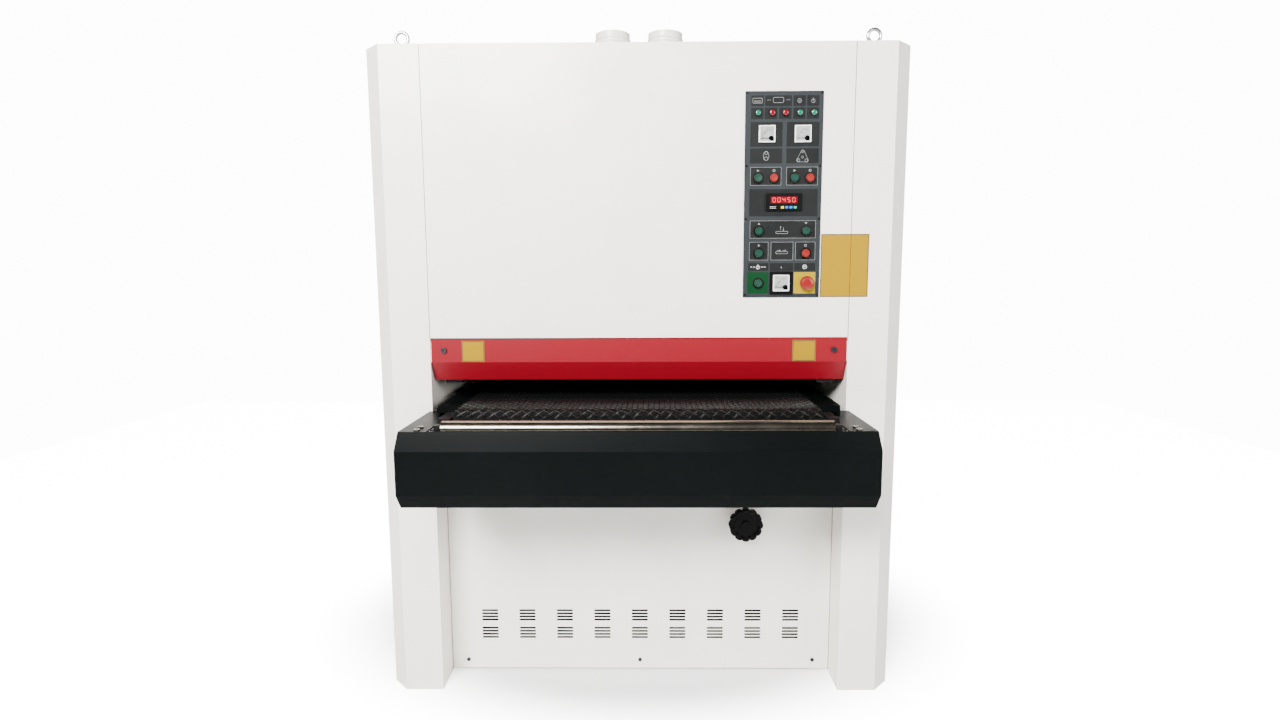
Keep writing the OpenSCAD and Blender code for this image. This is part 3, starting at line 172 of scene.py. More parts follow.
def make_peel():
    """Height of a sprayed and baked coat: small soft cells on longer waves."""
    group, given, leave = effect_group("orange_peel", {"Cell Size": 0.003, "Wave Size": 0.35}, "Height")
    coords = put(group, "TexCoord").outputs["Object"]
    cells = made(group, "TexNoise", Vector=coords, Detail=1.0, Roughness=0.4,
                 Scale=calc(group, 1.0, "/", given["Cell Size"]))
    waves = made(group, "TexNoise", Vector=coords, Detail=2.0,
                 Scale=calc(group, 1.0, "/", given["Wave Size"]))
    wave_height = 6.0
    wire(group, leave, Height=calc(group, cells, "+", calc(group, waves, "*", wave_height)))
    return group


def make_cloud_and_low_greying():
    """Colour and roughness of a coat that is a little greyer in random cloudy patches and towards the bottom.
    """
    group, given, leave = effect_group(
        "cloud_and_low_greying", {"Clean": (1, 1, 1, 1), "Handled": (0.8, 0.8, 0.8, 1), "Smooth": 0.4, "Rough": 0.5,
                   "Patch Size": 0.3, "Amount": 0.3, "Fade Height": 0.5}, "Colour", "Roughness")
    coords = put(group, "TexCoord").outputs["Object"]
    clouds = made(group, "TexNoise", Vector=coords, Detail=6.0, Roughness=0.62,
                  Scale=calc(group, 1.0, "/", given["Patch Size"]))
    cloudy = made(group, "MapRange", soft_step, Value=clouds, From_Min=0.42, From_Max=0.72)
    height = put(group, "SeparateXYZ", Vector=coords).outputs["Z"]
    # Greyer towards the bottom, below Fade Height
    low = made(group, "MapRange", soft_step, Value=height, From_Min=given["Fade Height"], From_Max=0.0,
               To_Max=0.7)
    both = made(group, "Math", {"operation": "ADD", "use_clamp": True}, n0=cloudy, n1=low)
    mask = calc(group, both, "*", given["Amount"])
    tint = put(group, "Mix", {"data_type": "RGBA"}, n0=mask, n6=given["Clean"], n7=given["Handled"])
    gloss = made(group, "Mix", {"data_type": "FLOAT"}, n0=mask, n2=given["Smooth"], n3=given["Rough"])
    wire(group, leave, Colour=tint.outputs[2], Roughness=gloss)
    return group


orange_peel, cloud_and_low_greying = make_peel(), make_cloud_and_low_greying()


def coated(name, clean, handled, smooth, rough, coat=0.0, amount=0.35, fade=0.5, cell=0.003,
           relief=0.00004, gloss=0.5):
    """Sprayed paint over metal."""
    material, tree, surface = shader(name)
    aged = put(tree, "Group", {"node_tree": cloud_and_low_greying}, Clean=clean, Handled=handled, Smooth=smooth,
               Rough=rough, Amount=amount, Fade_Height=fade)
    peel = made(tree, "Group", {"node_tree": orange_peel}, Cell_Size=cell)
    bump = made(tree, "Bump", Strength=0.6, Distance=relief, Height=peel)
    wire(tree, surface, Base_Color=aged.outputs["Colour"], Roughness=aged.outputs["Roughness"], Normal=bump,
         Coat_Weight=coat, Coat_Roughness=0.12, Specular_IOR_Level=gloss)
    return material


def dress(material, *nodes):
    """Gives CAD nodes their finish."""
    for node in nodes:
        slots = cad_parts[node].material_slots
        for slot in slots:
            slot.material = material
        if not slots:
            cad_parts[node].data.materials.append(material)


off_white = coated("off_white_coat", (0.86, 0.82, 0.75, 1), (0.70, 0.665, 0.60, 1), 0.34, 0.5, coat=0.2)
dress(off_white, "side_frames", "base_frame", "top_cover", "upper_front_panel", "lower_front_panel",
      "rear_panels", "dust_outlets", "left_door", "right_door")

# Red infeed guard
# A folded sheet across the infeed, sprayed signal red, held by a socket screw at each end.
guard_red = coated("signal_red_coat", (0.17, 0.002, 0.008, 1), (0.13, 0.003, 0.009, 1), 0.36, 0.5,
                   coat=0.02, gloss=0.25, fade=0.01, amount=0.25)
dress(guard_red, "front_guard")

# Aprons and feed table
# The two aprons are deep folded covers in a very dark green-grey, and the table frame between
# them has the same coat. The conveyor's brackets are black.
dark_coat = coated("dark_grey_coat", (0.0009, 0.0016, 0.0015, 1), (0.002, 0.003, 0.0028, 1), 0.38, 0.55,
                   fade=0.01, relief=0.00006, gloss=0.05)
dress(dark_coat, "front_apron", "rear_apron", "table_frame")
black_coat = coated("black_coat", (0.003, 0.003, 0.0032, 1), (0.008, 0.008, 0.0085, 1), 0.40, 0.58,
                    fade=0.01, amount=0.4, gloss=0.15)
dress(black_coat, "conveyor_brackets")


# Metal parts
# Ground shafts, chromed guide rollers and rings, cast bearing housings and gearboxes, and the
# blue motors.
def make_grain():
    """Fine turned or ground lines: height and roughness, stretched along one direction."""
    group, given, leave = effect_group(
        "ground_grain", {"Across": (1.0, 1.0, 1.0), "Line Size": 0.001, "Smooth": 0.1, "Rough": 0.3},
        "Height", "Roughness")
    coords = put(group, "TexCoord").outputs["Object"]
    stretched = made(group, "VectorMath", {"operation": "MULTIPLY"}, n0=coords, n1=given["Across"])
    lines = made(group, "TexNoise", Vector=stretched, Detail=2.0,
                 Scale=calc(group, 1.0, "/", given["Line Size"]))
    smears = made(group, "TexNoise", Vector=coords, Scale=9.0, Detail=5.0, Roughness=0.6)
    wire(group, leave, Height=lines, Roughness=made(
        group, "MapRange", Value=calc(group, lines, "*", smears), From_Min=0.12, From_Max=0.4,
        To_Min=given["Smooth"], To_Max=given["Rough"]))
    return group


def grained(name, group, strength, relief, values, **sockets):
    """A material whose relief and roughness come from a group with its own values."""
    material, tree, surface = shader(name)
    grain = put(tree, "Group", {"node_tree": group}, **values)
    bump = made(tree, "Bump", Strength=strength, Distance=relief, Height=grain.outputs["Height"])
    wire(tree, surface, Roughness=grain.outputs["Roughness"], Normal=bump, **sockets)
    return material


ground_grain = make_grain()


def metal(name, colour, smooth, rough, across=(1, 1, 1), line=0.0012):
    """Bare or plated metal with the marks of its machining."""
    return grained(name, ground_grain, 0.4, 0.00002,
                   {"Across": across, "Line_Size": line, "Smooth": smooth, "Rough": rough},
                   Base_Color=colour, Metallic=1.0)


# The chrome's colour is set dark and brownish: a painted dark reflection of dim surroundings
chrome = metal("chromed_steel", (0.15, 0.135, 0.11, 1), 0.15, 0.27, across=(1, 0.05, 0.05))
dress(chrome, "infeed_roller", "outfeed_roller", "button_bezels")
ground_steel = metal("ground_steel", (0.56, 0.57, 0.58, 1), 0.18, 0.38, across=(1, 0.04, 0.04))
dress(ground_steel, "feed_drive_roller", "feed_idler_roller", "drum_tension_roller", "combi_idler",
      "combi_tension_roller", "drum_motor_rotor", "combi_motor_rotor", "front_cross_shaft",
      "rear_cross_shaft", "link_shaft", "lift_screws", "lifting_eyes")
cast_coat = coated("cast_iron_coat", (0.010, 0.011, 0.012, 1), (0.022, 0.023, 0.024, 1), 0.4, 0.6,
                   cell=0.004, relief=0.0002, fade=0.01, gloss=0.3)
dress(cast_coat, "head_frames", "lift_gearboxes")
motor_blue = coated("motor_blue_coat", (0.035, 0.09, 0.16, 1), (0.06, 0.10, 0.14, 1), 0.38, 0.6, fade=0.01)
dress(motor_blue, "main_motors", "lift_gearmotor", "feed_gearmotor")


# Rubber, plastic and felt
# Belts, rubber covers, moulded parts, the platen's graphite cloth and the abrasive belts: a soft
# grain with little gloss.
def make_moulded():
    """Height and roughness of a moulded or vulcanised skin."""
    group, given, leave = effect_group(
        "moulded_skin", {"Grain Size": 0.002, "Smooth": 0.45, "Rough": 0.7}, "Height", "Roughness")
    coords = put(group, "TexCoord").outputs["Object"]
    pebbles = made(group, "TexVoronoi", {"feature": "SMOOTH_F1"}, Vector=coords,
                   Scale=calc(group, 1.0, "/", given["Grain Size"]))
    clouds = made(group, "TexNoise", Vector=coords, Scale=14.0, Detail=4.0)
    wire(group, leave, Height=pebbles, Roughness=made(
        group, "MapRange", Value=clouds, From_Min=0.3, From_Max=0.7, To_Min=given["Smooth"],
        To_Max=given["Rough"]))
    return group


moulded_skin = make_moulded()


def moulded(name, colour, smooth, rough, grain=0.002, relief=0.00006, gloss=0.5):
    """Rubber or plastic with its moulded grain."""
    return grained(name, moulded_skin, 0.5, relief, {"Grain_Size": grain, "Smooth": smooth, "Rough": rough},
                   Base_Color=colour, Specular_IOR_Level=gloss)


belt_rubber = moulded("black_belt_rubber", (0.0012, 0.0014, 0.0013, 1), 0.42, 0.6, gloss=0.05)
rib_rubber = moulded("belt_rib_rubber", (0.0022, 0.0026, 0.0025, 1), 0.17, 0.27, gloss=0.32)
dress(belt_rubber, "drive_belts")
roller_rubber = moulded("roller_rubber", (0.012, 0.012, 0.013, 1), 0.5, 0.7, gloss=0.3)
dress(roller_rubber, "sanding_drum", "combi_drum", "front_pressure_roller", "rear_pressure_roller")
graphite = moulded("graphite_cloth", (0.05, 0.05, 0.055, 1), 0.4, 0.6, grain=0.001)
dress(graphite, "platen")
knob_plastic = moulded("knob_plastic", (0.0012, 0.0012, 0.0014, 1), 0.4, 0.52, grain=0.0015, gloss=0.08)
dress(knob_plastic, "digital_readout", "drum_meter_needle", "combi_meter_needle", "voltmeter_needle")
abrasive_cloth = moulded("abrasive_cloth", (0.20, 0.075, 0.03, 1), 0.75, 0.95, grain=0.0008, relief=0.0002)
dress(abrasive_cloth, "abrasive_belts")

# Feed belt
# An endless black rubber belt, vulcanised with crossing ribs that grip the boards. The ribs stand on
# a thin carcass and reach the belt's full thickness.
belt_low, belt_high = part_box("feed_belt")
belt_outer = (belt_high.z - belt_low.z) / 2
belt_thick, rib_rise, rib_width, rib_height, rib_count = 0.004, 0.0027, 0.0065, 0.0029, 104
belt_inner, belt_base = belt_outer - belt_thick, belt_outer - rib_rise
belt_axis_z, belt_half = (belt_high.z + belt_low.z) / 2, (belt_high.x - belt_low.x) / 2
roller_span = (belt_high.y - belt_low.y) - 2 * belt_outer


def belt_loop(radius, steps=24):
    """Points of the belt's path round both rollers, as (y, z)."""
    points = []
    for side, centre in ((0, roller_span / 2), (1, -roller_span / 2)):
        for step in range(steps + 1):
            angle = math.pi * (side + step / steps)
            points.append((centre + radius * math.sin(angle), belt_axis_z + radius * math.cos(angle)))
    return points


def skin(mesh, rings):
    """Adds the faces between each ring of points and the next."""
    for a, b in zip(rings, rings[1:]):
        for i in range(len(a)):
            j = (i + 1) % len(a)
            mesh.faces.new((a[i], a[j], b[j], b[i]))


carcass = bmesh.new()
belt_rings = [[carcass.verts.new((x, y, z)) for y, z in belt_loop(radius)]
              for x, radius in ((-belt_half, belt_inner), (-belt_half, belt_base), (belt_half, belt_base),
                                (belt_half, belt_inner))]
skin(carcass, belt_rings + belt_rings[:1])
bmesh.ops.recalc_face_normals(carcass, faces=carcass.faces)
carcass_mesh = bpy.data.meshes.new("ribbed_feed_belt")
carcass.to_mesh(carcass_mesh)
carcass.free()


def shape_tree(name, *floats, **others):
    """An empty Geometry Nodes tree with inputs for numbers, then for other things by their kind."""
    tree = bpy.data.node_groups.new(name, "GeometryNodeTree")
    for label, kind in {"Geometry": "Geometry", **dict.fromkeys(floats, "Float"), **others}.items():
        tree.interface.new_socket(label.replace("_", " "), in_out="INPUT", socket_type="NodeSocket" + kind)
    tree.interface.new_socket("Geometry", in_out="OUTPUT", socket_type="NodeSocketGeometry")
    return tree, put(tree, "NodeGroupInput").outputs, put(tree, "NodeGroupOutput")


def vector(tree, **parts):
    """A vector from its X, Y and Z."""
    return made(tree, "CombineXYZ", **parts)


def position(tree):
    """The X, Y and Z of each point's own place."""
    return put(tree, "SeparateXYZ", Vector=made(tree, "GeometryNodeInputPosition")).outputs


def real_in(tree, shape, finish):
    """The shape, its copies made real, in its material."""
    real = made(tree, "GeometryNodeRealizeInstances", Geometry=shape)
    return made(tree, "GeometryNodeSetMaterial", Geometry=real, Material=finish)


def grown(name, mesh, tree, **values):
    """An object whose mesh is what tree makes of the given mesh."""
    piece = stand(name, mesh)
    modifier = piece.modifiers.new("shape", "NODES")
    modifier.node_group = tree
    for item in tree.interface.items_tree:
        if item.in_out == "INPUT" and item.name.replace(" ", "_") in values:
            modifier[item.identifier] = values[item.name.replace(" ", "_")]
    bpy.context.view_layer.update()
    shaped = piece.evaluated_get(bpy.context.evaluated_depsgraph_get())
    result = bpy.data.meshes.new_from_object(shaped)
    piece.modifiers.remove(modifier)
    piece.data = result
    return piece


def make_rib_tree():
    """Crossing ribs laid out flat, sheared to their slope and wrapped round the belt's path."""
    tree, given, leave = shape_tree(
        "belt_ribs", "Belt Width", "Rib Width", "Rib Height", "Base Radius", "Roller Span", "Axis Height",
        Rib_Count="Int", Rib_Rubber="Material", Carcass_Rubber="Material")
    radius, span = given["Base Radius"], given["Roller Span"]
    half = calc(tree, span, "+", calc(tree, radius, "*", math.pi))
    pitch = calc(tree, calc(tree, half, "*", 2.0), "/", given["Rib Count"])
    # A rib is wider than its width at the foot, narrower at the crown, and a little sunk in the carcass
    mean_width, taper, lift, rib_points = 0.8, 0.5, 0.42, 57
    bar = made(tree, "GeometryNodeMeshCube", Vertices_X=rib_points, Vertices_Y=2, Vertices_Z=2,
               Size=vector(tree, X=given["Belt Width"], Y=given["Rib Width"], Z=given["Rib Height"]))
    spot = position(tree)
    width = calc(tree, mean_width, "-", calc(tree, taper, "*", calc(tree, spot["Z"], "SIGN")))
    tapered = vector(tree, X=spot["X"], Y=calc(tree, spot["Y"], "*", width),
                     Z=calc(tree, spot["Z"], "+", calc(tree, given["Rib Height"], "*", lift)))
    rib = made(tree, "GeometryNodeSetPosition", Geometry=bar, Position=tapered)
    places = made(tree, "GeometryNodeMeshLine", Count=given["Rib Count"], Offset=vector(tree, Y=pitch))
    join = put(tree, "GeometryNodeJoinGeometry")
    for slope in (1.0, -1.0):
        row = made(tree, "GeometryNodeInstanceOnPoints", Points=places, Instance=rib)
        real = made(tree, "GeometryNodeRealizeInstances", Geometry=row)
        shear = vector(tree, Y=calc(tree, position(tree)["X"], "*", slope))
        wire(tree, join, Geometry=made(tree, "GeometryNodeSetPosition", Geometry=real, Offset=shear))
    flat = position(tree)
    side = calc(tree, calc(tree, flat["Y"], "/", half), "FLOOR")
    on_side = calc(tree, flat["Y"], "-", calc(tree, side, "*", half))
    straight = calc(tree, on_side, "MINIMUM", span)
    bent = calc(tree, calc(tree, on_side, "-", span), "MAXIMUM", 0.0)
    turned = calc(tree, calc(tree, bent, "/", radius), "+", calc(tree, side, "*", math.pi))
    sense = calc(tree, calc(tree, side, "*", math.pi), "COSINE")
    centre_y = calc(tree, sense, "*", calc(tree, straight, "-", calc(tree, span, "*", 0.5)))
    reach = calc(tree, radius, "+", flat["Z"])
    wrapped = vector(
        tree, X=flat["X"],
        Y=calc(tree, centre_y, "+", calc(tree, reach, "*", calc(tree, turned, "SINE"))),
        Z=calc(tree, given["Axis Height"], "+", calc(tree, reach, "*", calc(tree, turned, "COSINE"))))
    ribs = made(tree, "GeometryNodeSetPosition", Geometry=join.outputs[0], Position=wrapped)
    whole = put(tree, "GeometryNodeJoinGeometry")
    for part, rubber in ((ribs, "Rib Rubber"), (given["Geometry"], "Carcass Rubber")):
        wire(tree, whole, Geometry=real_in(tree, part, given[rubber]))
    wire(tree, leave, Geometry=whole.outputs[0])
    return tree


ribbed_belt = grown("ribbed_feed_belt", carcass_mesh, make_rib_tree(), Belt_Width=2 * belt_half,
                    Rib_Width=rib_width, Rib_Height=rib_height, Base_Radius=belt_base,
                    Roller_Span=roller_span, Axis_Height=belt_axis_z, Rib_Count=rib_count,
                    Rib_Rubber=rib_rubber, Carcass_Rubber=belt_rubber)
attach(ribbed_belt, "feed_table")
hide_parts("feed_belt")


# Screws
# Blackened hexagon socket screws hold the guard and the lower panel, and small plated ones the
# control plate. Two plated bolts at each end of a guide roller hold its apron to the table.
def spread(tree, given, leave, shape, finish):
    """Sets a copy of shape on each given point, in its material, as what the tree makes."""
    placed = made(tree, "GeometryNodeInstanceOnPoints", Points=given["Geometry"], Instance=shape)
    wire(tree, leave, Geometry=real_in(tree, placed, given[finish]))


def make_screw_tree():
    """A round head with a hexagon socket on each point, facing one way."""
    tree, given, leave = shape_tree("socket_screws", "Head Radius", "Head Height", "Socket Radius",
                                    Facing="Vector", Finish="Material")
    height = given["Head Height"]
    head = made(tree, "GeometryNodeMeshCylinder", Vertices=24, Radius=given["Head Radius"],
                Depth=calc(tree, height, "*", 2.0))
    hexagon = made(tree, "GeometryNodeMeshCylinder", Vertices=6, Radius=given["Socket Radius"],
                   Depth=calc(tree, height, "*", 1.2))
    socket = made(tree, "GeometryNodeTransform", Geometry=hexagon, Translation=vector(tree, Z=height))
    cut = made(tree, "GeometryNodeMeshBoolean", {"operation": "DIFFERENCE"}, n0=head, n1=socket)
    facing = made(tree, "GeometryNodeTransform", Geometry=cut, Rotation=given["Facing"])
    spread(tree, given, leave, facing, "Finish")
    return tree


screw_tree = make_screw_tree()
front_facing, up_facing, socket_share = (math.pi / 2, 0, 0), (0, 0, 0), 0.52


def screws(name, places, radius, height, finish, body="cabinet", facing=front_facing):
    """Screw heads at places, which lie on the sheet under them."""
    points = bpy.data.meshes.new(name)
    points.from_pydata(places, [], [])
    piece = grown(name, points, screw_tree, Head_Radius=radius, Head_Height=height,
                  Socket_Radius=radius * socket_share, Facing=facing, Finish=finish)
    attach(piece, body)


blackened = metal("blackened_steel", (0.045, 0.045, 0.05, 1), 0.35, 0.5, line=0.0005)
guard_face, guard_screw_x, guard_screw_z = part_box("front_guard")[0].y, 0.570, 1.060
screws("guard_screws", [(x, guard_face, guard_screw_z) for x in (-guard_screw_x, guard_screw_x)],
       0.0085, 0.005, blackened)
panel_face, panel_screw_x, panel_screw_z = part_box("lower_front_panel")[0].y, 0.558, 0.036
screws("panel_screws", [(x, panel_face, panel_screw_z) for x in (-panel_screw_x, 0, panel_screw_x)],
       0.006, 0.003, blackened)

plate_low, plate_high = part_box("control_panel")
plate_centre, plate_face = (plate_low + plate_high) / 2, plate_low.y
plate_screw_x, plate_screw_rows = 0.1035, (0.2825, 0.0832, -0.0643, -0.279)
screws("plate_screws", [(plate_centre.x + side, plate_face, plate_centre.z + up)
                        for side in (-plate_screw_x, plate_screw_x) for up in plate_screw_rows],
       0.0032, 0.0016, chrome)

bolt_past_roller, bolt_off_axis = 0.042, 0.016
for apron, roller in (("front_apron", "infeed_roller"), ("rear_apron", "outfeed_roller")):
    roller_low, roller_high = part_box(roller)
    roller_y, bolt_x = (roller_low.y + roller_high.y) / 2, roller_high.x + bolt_past_roller
    screws(apron + "_bolts", [(x, roller_y + along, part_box(apron)[1].z) for x in (-bolt_x, bolt_x)
                              for along in (-bolt_off_axis, bolt_off_axis)],
           0.0075, 0.005, chrome, "feed_table", up_facing)

# Push-buttons
# Spring-return caps in tinted plastic with a shallow finger dish, each in a chromed ring, and the
# red mushroom head of the emergency stop.
cap_green = moulded("cap_green", (0.0015, 0.026, 0.016, 1), 0.25, 0.35, relief=0.00002)
dress(cap_green, "drum_start_button", "combi_start_button", "table_up_button", "table_down_button",
      "feed_start_button", "power_button")
cap_red = moulded("cap_red", (0.17, 0.004, 0.004, 1), 0.25, 0.35, relief=0.00002)
dress(cap_red, "drum_stop_button", "combi_stop_button", "feed_stop_button", "emergency_stop")

# Control plate
# A grey engraved plate; the dark fields, their pale outlines and the pictograms are printed on it
# as films a fifth of a millimetre thick. Pictograms stand where such plates carry words.
plate_grey = coated("plate_grey", (0.016, 0.019, 0.0205, 1), (0.024, 0.027, 0.029, 1), 0.42, 0.5,
                    cell=0.0008, gloss=0.15)
dress(plate_grey, "control_panel")


def polar(x, z, radius, angle):
    """A point at a distance from (x, z), in a direction that turns anticlockwise from the right."""
    return x + radius * math.cos(angle), z + radius * math.sin(angle)


def rounded(x0, x1, z0, z1, corner=1.5):
    """Outline of a field with round corners, anticlockwise seen from the front, in millimetres."""
    points = []
    for cx, cz, start in ((x1 - corner, z0 + corner, -90), (x1 - corner, z1 - corner, 0),
                          (x0 + corner, z1 - corner, 90), (x0 + corner, z0 + corner, 180)):
        points += [polar(cx, cz, corner, math.radians(start + 30 * step)) for step in range(4)]
    filled = []
    for a, b in zip(points, points[1:] + points[:1]):
        steps = 1 if math.dist(a, b) < corner else 5
        filled += [(a[0] + (b[0] - a[0]) * k / steps, a[1] + (b[1] - a[1]) * k / steps)
                   for k in range(steps)]
    return filled


def disc(x, z, radius, sides=24):
    """Outline of a disc, with its first point on the right."""
    return [polar(x, z, radius, 2 * math.pi * i / sides) for i in range(sides)]


def on_plate(mesh, outline, lift):
    """Points of an outline, in millimetres from the plate's centre and lift off its face."""
    mm = 0.001
    return [mesh.verts.new((plate_centre.x + x * mm, plate_face - lift * mm, plate_centre.z + z * mm))
            for x, z in outline]


film = 0.2


def film_print(mesh, outline, lift=0.0, thick=film):
    """Adds one printed patch: a closed prism thick millimetres deep that starts lift off the plate."""
    front, back = on_plate(mesh, outline, lift + thick), on_plate(mesh, outline, lift)
    mesh.faces.new(front)
    mesh.faces.new(back[::-1])
    skin(mesh, [back, front])


def film_band(mesh, outer, inner, lift=film, thick=film):
    """Adds a printed line between two outlines that have as many points each."""
    rings = [on_plate(mesh, outline, height) for outline, height in (
        (outer, lift + thick), (inner, lift + thick), (inner, lift), (outer, lift))]
    skin(mesh, rings + rings[:1])


def outlined(mesh, x0, x1, z0, z1, line, corner=1.5, inner_corner=1.5, lift=film, thick=film):
    """Adds a printed line inside the edge of a field."""
    film_band(mesh, rounded(x0, x1, z0, z1, corner),
              rounded(x0 + line, x1 - line, z0 + line, z1 - line, inner_corner), lift, thick)


def pierced(mesh, outline, x, z, radius=13.2, thick=film):
    """Adds a printed patch with a round hole that a button's barrel passes through."""
    hole = []
    for px, pz in outline:
        far = math.hypot(px - x, pz - z)
        hole.append((x + radius * (px - x) / far, z + radius * (pz - z) / far))
    film_band(mesh, outline, hole, 0.0, thick)


def film_ring(mesh, x, z, radius, line=0.8, sides=24, lift=film, thick=film):
    """Adds a printed circle."""
    film_band(mesh, disc(x, z, radius, sides), disc(x, z, radius - line, sides), lift, thick)


def film_line(mesh, x0, z0, x1, z1, line=0.8, lift=film, thick=film):
    """Adds a straight printed line."""
    length = math.hypot(x1 - x0, z1 - z0)
    sx, sz = (z1 - z0) / length * line / 2, -(x1 - x0) / length * line / 2
    film_print(mesh, [(x0 + sx, z0 + sz), (x1 + sx, z1 + sz), (x1 - sx, z1 - sz), (x0 - sx, z0 - sz)],
               lift, thick)


def finish_piece(name, mesh, material, body="cabinet"):
    """Turns a bmesh into a piece in place, riding on its body."""
    data = bpy.data.meshes.new(name)
    bmesh.ops.recalc_face_normals(mesh, faces=mesh.faces)
    mesh.to_mesh(data)
    mesh.free()
    data.materials.append(material)
    piece = stand(name, data)
    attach(piece, body)
    return piece


def ink(name, colour, smooth, rough, gloss=0.5):
    """Screen printing ink."""
    return moulded(name, colour, smooth, rough, grain=0.0006, relief=0.00001, gloss=gloss)


fields = bmesh.new()
for low, high in ((-93, -58), (-55, -20), (-15, 20), (25, 59), (63, 97)):
    film_print(fields, rounded(low, high, 211, 242))
for low, high in ((-93, -58), (-54, 20), (25, 59), (63, 97)):
    film_print(fields, rounded(low, high, 246, 275))
for low, high in ((-94, -4), (8, 99)):
    film_print(fields, rounded(low, high, 136, 203))
    film_print(fields, rounded(low, high, 90, 131))
film_print(fields, rounded(-95, 99, -57, 19))
for low, high, bottom, top, x, z in (
        (-94, -48, 28, 81, -71, 50), (-48, -4, 28, 81, -26, 50), (8, 53, 28, 81, 32, 50),
        (53, 99, 28, 81, 76, 50), (-93, 0, -120, -68, -66, -98), (0, 97, -120, -68, 68, -98),
        (-94, -37, -182, -128, -65, -161), (38, 97, -182, -128, 68, -161)):
    pierced(fields, rounded(low, high, bottom, top, 0.6), x, z)
film_print(fields, rounded(-32, 34, -182, -128))
thirds = ((-94, -37), (-32, 34), (38, 97))
for low, high in thirds:
    film_print(fields, rounded(low - 1, high, -211, -189))
field_print = ink("field_print", (0.005, 0.0058, 0.0058, 1), 0.4, 0.55, gloss=0.15)
finish_piece("panel_fields", fields, field_print)

lines = bmesh.new()
field_margin, field_line = 1.2, 0.7
for low, high, bottom, top in ([(-94, -4, 28, 81), (8, 99, 28, 81), (-93, 97, -120, -68)]
                               + [(low, high, -182, -128) for low, high in thirds]):
    outlined(lines, low + field_margin, high - field_margin, bottom + field_margin, top - field_margin,
             field_line)
# Start and stop marks over the buttons
for x, z in ((-71, 70), (32, 70), (-65, -139)):
    film_print(lines, [(x - 2.5, z - 3.5), (x + 3.5, z), (x - 2.5, z + 3.5)], film)
for x, z in ((-26, 70), (76, 70), (68, -139)):
    outlined(lines, x - 3.2, x + 3.2, z - 3.2, z + 3.2, 1.2, 0.5, 0.5)
# Table up and down arrows
for x, side in ((-66, 1), (68, -1)):
    z = -77 - 3 * side
    film_print(lines, [(x - 3.5, z), (x + 3.5, z), (x, z + 5 * side)][::side], film)
# Belt over two rollers, and over three
film_band(lines, [(x, z * 1.6 + 110.5) for x, z in disc(-49, 0, 8.2)],
          [(x, z * 1.68 + 110.5) for x, z in disc(-49, 0, 7.4)])
bends = [(cx, cz, math.radians(start + 20 * step)) for cx, cz, start in (
    (64.5, 98.5, -120), (53.5, 121, 0), (42.5, 98.5, 120)) for step in range(7)]
film_band(lines, [polar(cx, cz, 6, angle) for cx, cz, angle in bends],
          [polar(cx, cz, 5.2, angle) for cx, cz, angle in bends])
for x, z, radius in ((-49, 118.5, 4.4), (-49, 103, 5.2), (64.5, 98.5, 4), (53.5, 121, 3), (42.5, 98.5, 4),
                     (53.5, 107, 3.4)):
    film_ring(lines, x, z, radius)
# Rising table and running belt
outlined(lines, -18, 17, -106, -99, 0.8, 3, 2.4)
outlined(lines, -17, 18, -163, -156, 0.8, 3, 2.4)
for x, side in ((-4, 1), (4, -1)):
    film_line(lines, x, -95, x, -88)
    z = -91.5 + 3.5 * side
    film_print(lines, [(x - 2, z), (x + 2, z), (x, z + 3 * side)][::side], film)
for x in (-8, 8):
    film_line(lines, x - 5, -153, x + 2, -153)
    film_print(lines, [(x + 2, -155), (x + 5, -153), (x + 2, -151)], film)
# Top row: rollers, belt, guard and mains
outlined(lines, -89, -62, 254, 268, 0.8, 2, 1.6)
for x in (-82, -75.5, -69):
    film_ring(lines, x, 259, 2.6, 0.6, 12)
outlined(lines, -32, -2, 255, 270, 0.8, 4, 3.4)
for x in (-46, -40, 7, 13):
    film_line(lines, x - 2, 262.5, x + 2, 262.5)
for ring in ((42, 260.5, 6.5, 0.8, 6), (42, 260.5, 2.6, 0.6, 12), (80, 260, 5.4)):
    film_ring(lines, *ring)
film_line(lines, 80, 260, 80, 268, 1.2)
line_print = ink("line_print", (0.20, 0.21, 0.20, 1), 0.5, 0.6)
finish_piece("panel_pictograms", lines, line_print)

# White marks of the three lower fields: mains switch, voltage and stop
marks = bmesh.new()
film_ring(marks, -67, -201, 5.2, 1.3)
film_line(marks, -67, -201, -67, -193.5, 1.5)
for x in (-86, -78, -56, -48):
    film_line(marks, x - 2.5, -200, x + 2.5, -200, 1.3)
film_print(marks, [(-1.5, -200.5), (1.8, -200.5), (-1, -207), (1, -201.8), (-2, -201.8), (1.5, -194)], film)
film_ring(marks, 67, -200, 6.4, 1.4, 8)
film_line(marks, 63.5, -200, 70.5, -200, 1.6)
white_print = ink("white_print", (0.62, 0.63, 0.62, 1), 0.45, 0.55)
finish_piece("panel_marks", marks, white_print)

# Thicker plates in colour round the power button and the emergency stop
for name, ink_name, colour, low, high, x, z, slot in (
        ("power_plate", "green_print", (0.0, 0.026, 0.006, 1), -98, -37, -67, -246, "button_green"),
        ("stop_plate", "yellow_print", (0.30, 0.20, 0.0, 1), 36, 98, 71, -246.5, "panel_grey")):
    surround_plate = bmesh.new()
    pierced(surround_plate, rounded(low, high, -276, -215, 1), x, z, thick=0.8)
    finish_piece(name, surround_plate, ink(ink_name, colour, 0.4, 0.5, gloss=0.1))


# Meters
# Three square moving-needle meters in white cases: a printed dial, a black corner cover over the
# pivot, and a clear front. The voltmeter sits in a deep black bezel.
def plain(name, **sockets):
    """A material that is the same all over."""
    material, tree, surface = shader(name)
    wire(tree, surface, **sockets)
    return material


